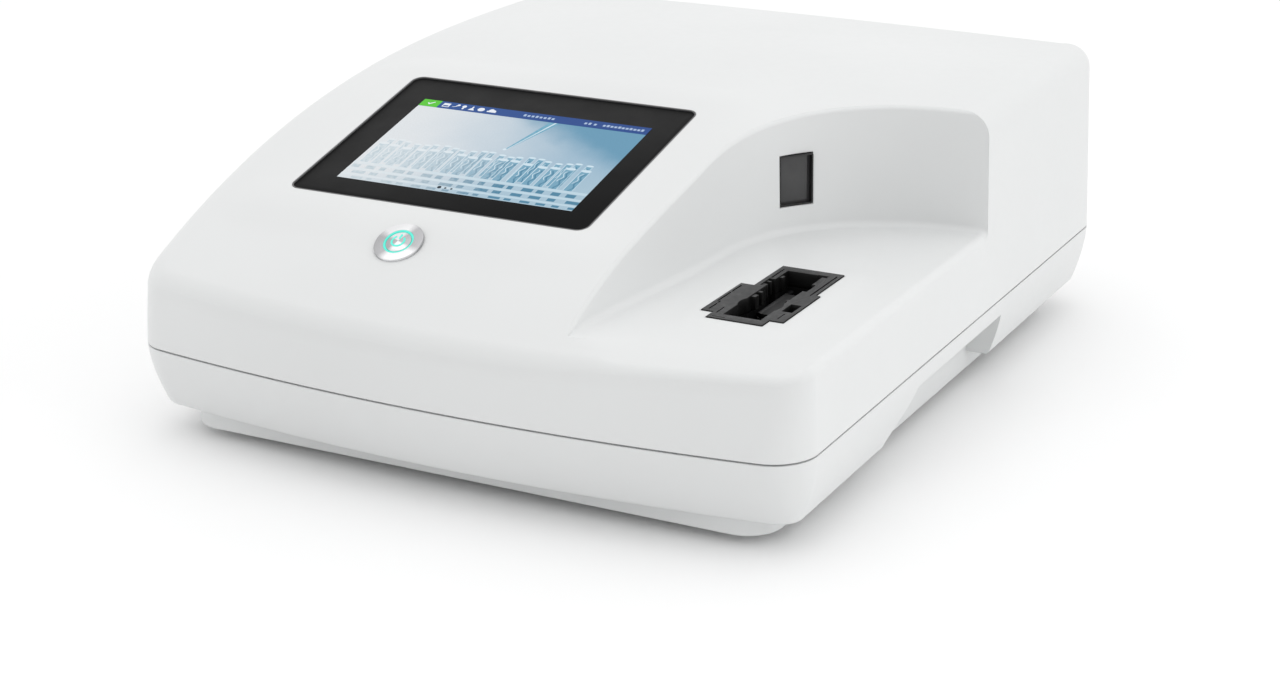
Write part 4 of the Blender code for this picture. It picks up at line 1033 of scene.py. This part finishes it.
def build_picture(mats):
    half_x, half_y = PICTURE_WIDTH / 2, PICTURE_LENGTH / 2
    screen_plates("display_picture", [rectangle(-half_x, -half_y, half_x, half_y)], 0.02, mats["picture"])
    body = screen_material("tube_glass", (0.66, 0.72, 0.75), (0.17, 0.36, 0.49))
    light = screen_material("tube_shine", (0.76, 0.79, 0.81), (0.60, 0.74, 0.82))
    shadow = screen_material("tube_shadow", (0.62, 0.69, 0.72), (0.07, 0.22, 0.34))
    rail = screen_material("rack_rail", (0.73, 0.77, 0.79), (0.50, 0.65, 0.74))
    back = tube_row(-48.5, 4.4, 22, -1.2, -19.0, 1.5, 0.4)
    front = tube_row(-50.4, 6.3, 16, -5.4, -20.5, 2.1, 1.7)
    for depth, (bodies, lights, shadows) in enumerate((back, front)):
        painted_top_light = 0.03 + 0.03 * depth
        screen_plates(f"tube_bodies_{depth + 1}", bodies, painted_top_light, body)
        screen_plates(f"tube_shadows_{depth + 1}", shadows, painted_top_light + 0.01, shadow)
        screen_plates(f"tube_lights_{depth + 1}", lights, painted_top_light + 0.02, light)
    bars = ((-22.4, 1.7), (-27.2, 1.5), (-31.4, 1.1))
    rack = [rectangle(-half_x, y, half_x, y + height) for y, height in bars]
    screen_plates("rack_bars", rack, 0.09, rail)
    gaps = []
    for row, (y, height, period) in enumerate(((-25.3, 2.4, 6.6), (-29.6, 2.0, 8.2), (-33.4, 1.4, 7.1))):
        for k in range(int(PICTURE_WIDTH / period)):
            x = -half_x + 1.0 + period * (k + 0.35 * row)
            end = min(x + period * (0.55 + 0.2 * math.sin(2.7 * k + row)), half_x)
            if x < half_x - 1.0:
                gaps.append(rectangle(x, y, end, y + height))
    screen_plates("rack_gaps", gaps, 0.09, shadow)
    nib = screen_material("pipette_glass", (0.45, 0.60, 0.70), (0.12, 0.36, 0.50))
    screen_plates("pipette", [[(2.6, 3.0), (3.6, 3.2), (14.2, 28.4), (9.8, 28.4)]], 0.04, nib)
    screen_plates("pipette_shine", [[(3.3, 3.1), (3.6, 3.2), (13.0, 28.4), (12.1, 28.4)],
                                    disc(2.7, 3.2, 0.8)], 0.05, light)


def build_status_bar():
    half_x, half_y = PICTURE_WIDTH / 2, PICTURE_LENGTH / 2
    low = half_y - STATUS_HEIGHT
    y = low + STATUS_HEIGHT / 2
    blue = screen_material("status_blue", (0.018, 0.078, 0.28), (0.014, 0.062, 0.25))
    green = screen_material("status_green", (0.095, 0.55, 0.03), (0.095, 0.55, 0.03))
    white = screen_material("status_white", (0.80, 0.84, 0.90), (0.80, 0.84, 0.90))
    grey = screen_material("status_grey", (0.40, 0.52, 0.70), (0.40, 0.52, 0.70))
    dark = screen_material("page_dot", (0.01, 0.02, 0.03), (0.01, 0.02, 0.03))
    screen_plates("status_bar", [rectangle(-half_x, low, half_x, half_y)], 0.10, blue)
    screen_plates("status_tab", [rectangle(-half_x, low, -half_x + 8.8, half_y)], 0.12, green)
    x = -half_x + 3.0
    tick = [(x, y), (x + 0.4, y + 0.4), (x + 1.1, y - 0.3), (x + 2.9, y + 1.4), (x + 3.3, y + 1.0),
            (x + 1.1, y - 1.2)]
    card = [rectangle(-43.4, y - 1.5, -43.0, y + 1.5), rectangle(-40.5, y - 1.5, -40.1, y + 1.5),
            rectangle(-43.0, y - 1.5, -40.5, y - 1.1), rectangle(-43.0, y - 0.1, -40.5, y + 1.5)]
    plug = [ribbon([(-36.4, y + 1.3), (-37.0, y), (-38.4, y - 0.8)], 0.3), disc(-36.2, y + 1.1, 0.7)]
    bulb = [disc(-33.2, y + 0.6, 1.0), rectangle(-33.6, y - 1.6, -32.8, y)]
    flask = [[(-30.6, y - 1.5), (-27.6, y - 1.5), (-28.8, y + 0.3), (-28.8, y + 1.5), (-29.4, y + 1.5),
              (-29.4, y + 0.3)]]
    bubble = [disc(-24.8, y, 1.6, 24, 0.9)]
    cloud = [rectangle(-21.6, y - 1.2, -17.4, y - 0.2), disc(-19.8, y + 0.2, 1.2), disc(-18.4, y - 0.1, 0.8)]
    screen_plates("status_icons", [tick] + card + plug + bulb + flask + bubble + cloud, 0.14, white)
    starts = [-4.2 + 1.9 * k for k in range(8)] + [24.4, 26.3, 28.8] + [33.0 + 1.75 * k for k in range(11)]
    glyphs = [rectangle(start, y - 0.8, start + 1.15, y + 0.55 + 0.3 * (k % 3 == 0))
              for k, start in enumerate(starts)]
    screen_plates("status_glyphs", glyphs, 0.14, grey)
    dots = [disc(-7.4 + 2.8 * k, -half_y + 3.0, 0.9 if k == 0 else 0.5) for k in range(3)]
    screen_plates("page_dots", dots, 0.12, dark)


def build_display(mats):
    outline = display_outline(-0.35, 4.2, 12)
    glass = prism("display_cover", outline, GLASS_SUNK - GLASS_THICKNESS, 0.0, mats["glass_black"])
    bevelled(glass, 0.15)
    set_place(glass, display_matrix() @ Matrix.Translation((0, 0, -GLASS_SUNK)))
    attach(glass, "case")
    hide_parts("display_glass")
    # its grey is a painted highlight along the edge of the glass
    gasket = prism("display_gasket", display_outline(0.2, 4.7, 12), -1.8, 0.02, mats["gasket"])
    cut(gasket, prism("gasket_hole", outline, -3.0, 2.0))
    set_place(gasket, display_matrix())
    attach(gasket, "case")
    build_picture(mats)
    build_status_bar()


# ---------------------------------------------------------------- barcode window
def build_window(mats):
    """The dark pane, set back behind a narrow frame that lines the hole in the recess wall."""
    outer = rounded_rectangle(7.5, -10.5, 10.5, 0.5, 3)
    inner = rounded_rectangle(6.9, -9.9, 9.9, 0.4, 3)
    rim = prism("window_frame", outer, -4.4, 0.15, mats["window_frame"])
    cut(rim, prism("frame_hole", inner, -6.0, 2.0))
    pane = prism("window_pane", inner, -4.2, -2.2, mats["window"])
    for piece in (rim, pane):
        set_place(piece, window_matrix())
        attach(piece, "case")
    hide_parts("barcode_window")


# ---------------------------------------------------------------- power button
def arc_band(radius, half, start, end):
    """A curved band round the middle, between two angles in degrees."""
    turns = [math.radians(start + (end - start) * k / 40) for k in range(41)]
    outer = [(math.cos(turn) * (radius + half), math.sin(turn) * (radius + half)) for turn in turns]
    inner = [(math.cos(turn) * (radius - half), math.sin(turn) * (radius - half)) for turn in turns]
    return outer + inner[::-1]


CAP_RADIUS = 5.15


def dome(radius):
    """Height of the cap's gently domed face."""
    return 1.7 - 0.5 * (radius / CAP_RADIUS) ** 2


def build_button(mats):
    rim = [(10.0 - 0.35 * (1 - math.cos(math.radians(18 * k))), 0.9 + 0.35 * math.sin(math.radians(18 * k)))
           for k in range(6)]
    inside = [(9.2, 1.33), (6.2, 1.35), (6.13, 1.28), (6.13, 1.06), (6.7, 0.96), (6.7, -2.9), (5.5, -2.9)]
    body = [(10.0, 0.35)] + rim + inside + [(5.5, -13.0), (7.8, -13.0), (7.8, 0.35)]
    body = turned("power_button_body", body[::-1], mats["button_steel"], 96)
    set_place(body, button_matrix())
    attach(body, "case")
    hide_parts("button_body")

    ring = [(5.45, -2.6), (6.4, -2.6), (6.4, 0.88), (6.08, 0.98), (6.08, 1.25), (5.98, 1.3), (5.55, 1.3),
            (5.45, 1.2)]
    ring = turned("power_button_ring", ring, mats["glow"], 96)
    set_place(ring, button_matrix())
    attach(ring, "case")
    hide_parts("button_light_ring")

    face = [(CAP_RADIUS * k / 6, dome(CAP_RADIUS * k / 6)) for k in range(6)]
    face += [(5.05, dome(5.05)), (CAP_RADIUS, 1.12)]
    cap = [(0, -9.0), (2.0, -9.0), (2.0, -1.9), (CAP_RADIUS, -1.9)] + face[::-1]
    cap = turned("power_button_cap", cap, mats["button_steel"], 96)
    set_place(cap, button_matrix())
    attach(cap, "button")
    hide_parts("button_cap")

    arc = prism("power_symbol_arc", arc_band(2.6, 0.4, -232, 52), dome(3.0) - 0.3, dome(2.2) + 0.03,
                mats["glow"])
    bar = prism("power_symbol_bar", rounded_rectangle(0.4, 0.9, 3.5, 0.36, 5), dome(3.5) - 0.3,
                dome(0.9) + 0.02, mats["glow"])
    for piece in (arc, bar):
        set_place(piece, button_matrix())
        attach(piece, "button")


# ---------------------------------------------------------------- cuvette insert
def build_insert(mats):
    insert = prism("slot_insert", INSERT_OUTLINE, INSERT_BOTTOM, INSERT_TOP, mats["insert"])
    middle = 99.2                                # of the slot, across
    low, high = INSERT_BOTTOM - 2, INSERT_TOP + 2
    tools = [box("slot", (middle - 7.6, -111.1, low), (middle + 7.6, -54.5, high))]
    tools.append(rod("tube_seat", (middle, -95.0, 0), "z", 8.6, low, high, steps=48))
    tools.append(box("recess", (middle - 10.1, -74.4, low), (middle + 9.3, -66.0, high)))
    tools.append(box("sensor_window", (109.4, -98.7, low), (113.6, -90.0, high)))
    tools.append(box("rear_notch", (middle + 5.0, -56.4, low), (middle + 9.4, -54.0, high)))
    cut(insert, *tools)
    ribs = [((-7.9, -87.2), (-5.9, -84.2)), ((-7.9, -81.4), (-6.1, -79.8)), ((-10.4, -73.0), (-8.2, -71.2)),
            ((-10.4, -68.6), (-8.4, -67.4)), ((-7.9, -62.0), (-6.4, -59.6)), ((6.2, -86.6), (7.9, -84.4))]
    rib_low, rib_high = INSERT_BOTTOM + 0.2, INSERT_TOP - 0.5
    add(insert, *[box("rib", (middle + a[0], a[1], rib_low), (middle + b[0], b[1], rib_high))
                  for a, b in ribs])
    bevelled(insert, 0.25)
    groove = INSERT_TOP - 0.9
    lines = [((111.3, -78.0), (111.9, -53.0)), ((89.2, -65.0), (89.8, -53.4)), ((82.9, -86.4), (83.5, -78.4)),
             ((82.9, -98.4), (83.5, -87.6)), ((83.9, -100.4), (84.5, -98.2)),
             ((83.9, -107.8), (84.5, -101.4)),
             ((88.6, -114.6), (94.0, -114.2)), ((111.6, -107.4), (112.0, -101.0)),
             ((88.3, -110.6), (88.8, -104.0))]
    cut(insert, *[box("groove", (*a, groove), (*b, high)) for a, b in lines])
    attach(insert, "case")
    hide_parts("cuvette_insert")


# ---------------------------------------------------------------- model pieces that stay
NODE_LOOKS = {
    "white": ["rear_panel"],
    "rubber": ["foot_front_left", "foot_front_right", "foot_rear_left", "foot_rear_right"],
    "steel": ["housing_screw_front_left", "housing_screw_front_right", "housing_screw_rear_left",
              "housing_screw_rear_right", "button_nut", "filter_motor", "grating_motor",
              "grating_table"],
    "bright": ["lcd_module", "usb_port", "ethernet_port"],
    "spring": ["button_spring", "clamp_spring"],
    # painted shade: the pin and spring are made dark to match the shade in the slot
    "painted_shade_dark": ["shutter_pin", "shutter_spring"],
    "black": ["cuvette_well", "cuvette_clamp", "button_switch", "barcode_reader", "dc_jack", "fan_frame",
              "fan_rotor", "reference_detector", "sample_detector", "display_bracket"],
    "insert": ["cuvette_shutter"],
    "cable": ["display_cable"],
    "cast": ["optics_base", "lamp_heat_sink"],
    "anodised": ["optics_cover", "condenser_mount", "entrance_slit", "collimating_mirror_mount",
                 "focusing_mirror_mount", "exit_slit", "filter_wheel"],
    "ceramic": ["lamp_socket"],
    "clear": ["halogen_lamp", "condenser_lens", "exit_lens", "beam_splitter"],
    "mirror": ["collimating_mirror", "focusing_mirror", "diffraction_grating"],
    "brass": ["sector_gear", "motor_pinion"],
    "board": ["main_board"],
}


def dress_nodes(mats):
    for look, names in NODE_LOOKS.items():
        for name in names:
            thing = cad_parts[name]
            if not thing.material_slots:
                thing.data.materials.append(None)
            for place in thing.material_slots:
                place.material = mats[look]


# ---------------------------------------------------------------- stage
EYE_PLACE = (0.46425, -0.86470, 0.36600)       # in metres, solved from the picture
EYE_AIM = (-0.41761, 0.84169, -0.34229)
EYE_LENS = 68.44
EYE_SHIFT = -0.0625
DIM_WALL = Vector((0.36, -0.92, -0.10))        # the studio is darker on this side
WORLD_LIGHT = 1.02


def aim(thing, direction):
    thing.rotation_euler = Vector(direction).to_track_quat("-Z", "Y").to_euler()


def area_light(name, location, target, size, power):
    light = bpy.data.lights.new(name, "AREA")
    light.energy = power
    light.size = size
    lamp = bpy.data.objects.new(name, light)
    bpy.context.scene.collection.objects.link(lamp)
    lamp.location = location
    aim(lamp, Vector(target) - Vector(location))


def build_stage():
    floor_look = Shader("studio_floor", Roughness=0.8)
    floor_look.colour(floor_look.ramp(floor_look.noise(400.0), (0.93, 0.93, 0.93), (0.95, 0.95, 0.95)))
    bm = bmesh.new()
    bmesh.ops.create_grid(bm, x_segments=8, y_segments=8, size=6000.0)
    floor = finish_mesh("studio_floor", bm, floor_look.material)

    world = bpy.data.worlds.new("studio")
    bpy.context.scene.world = world
    world.use_nodes = True
    tree = world.node_tree
    background = tree.nodes["Background"]
    background.inputs["Strength"].default_value = WORLD_LIGHT
    toward = tree.nodes.new("ShaderNodeVectorMath")
    toward.operation = "DOT_PRODUCT"
    toward.inputs[1].default_value = DIM_WALL.normalized()
    tree.links.new(tree.nodes.new("ShaderNodeTexCoord").outputs["Generated"], toward.inputs[0])
    dim = tree.nodes.new("ShaderNodeMapRange")
    for label, number in (("From Min", 0.55), ("From Max", 1.0), ("To Min", 1.0), ("To Max", 0.34)):
        dim.inputs[label].default_value = number
    tree.links.new(toward.outputs["Value"], dim.inputs["Value"])
    tree.links.new(dim.outputs["Result"], background.inputs["Color"])
    area_light("overhead", (-0.1, -0.1, 2.0), (0, 0, 0.05), 2.0, 5.5)
    area_light("right", (1.8, 0.0, 0.55), (0.1, 0, 0.05), 1.2, 3.6)
    bpy.context.scene.view_settings.view_transform = "Standard"

    camera = bpy.data.cameras.new("camera")
    camera.sensor_width = 36.0
    camera.lens = EYE_LENS
    camera.shift_x = EYE_SHIFT
    eye = bpy.data.objects.new("camera", camera)
    bpy.context.scene.collection.objects.link(eye)
    eye.location = EYE_PLACE
    aim(eye, EYE_AIM)
    bpy.context.scene.camera = eye


build_stage()
materials = make_materials()
build_upper(materials)
build_lower(materials)
build_display(materials)
build_window(materials)
build_button(materials)
build_insert(materials)
dress_nodes(materials)
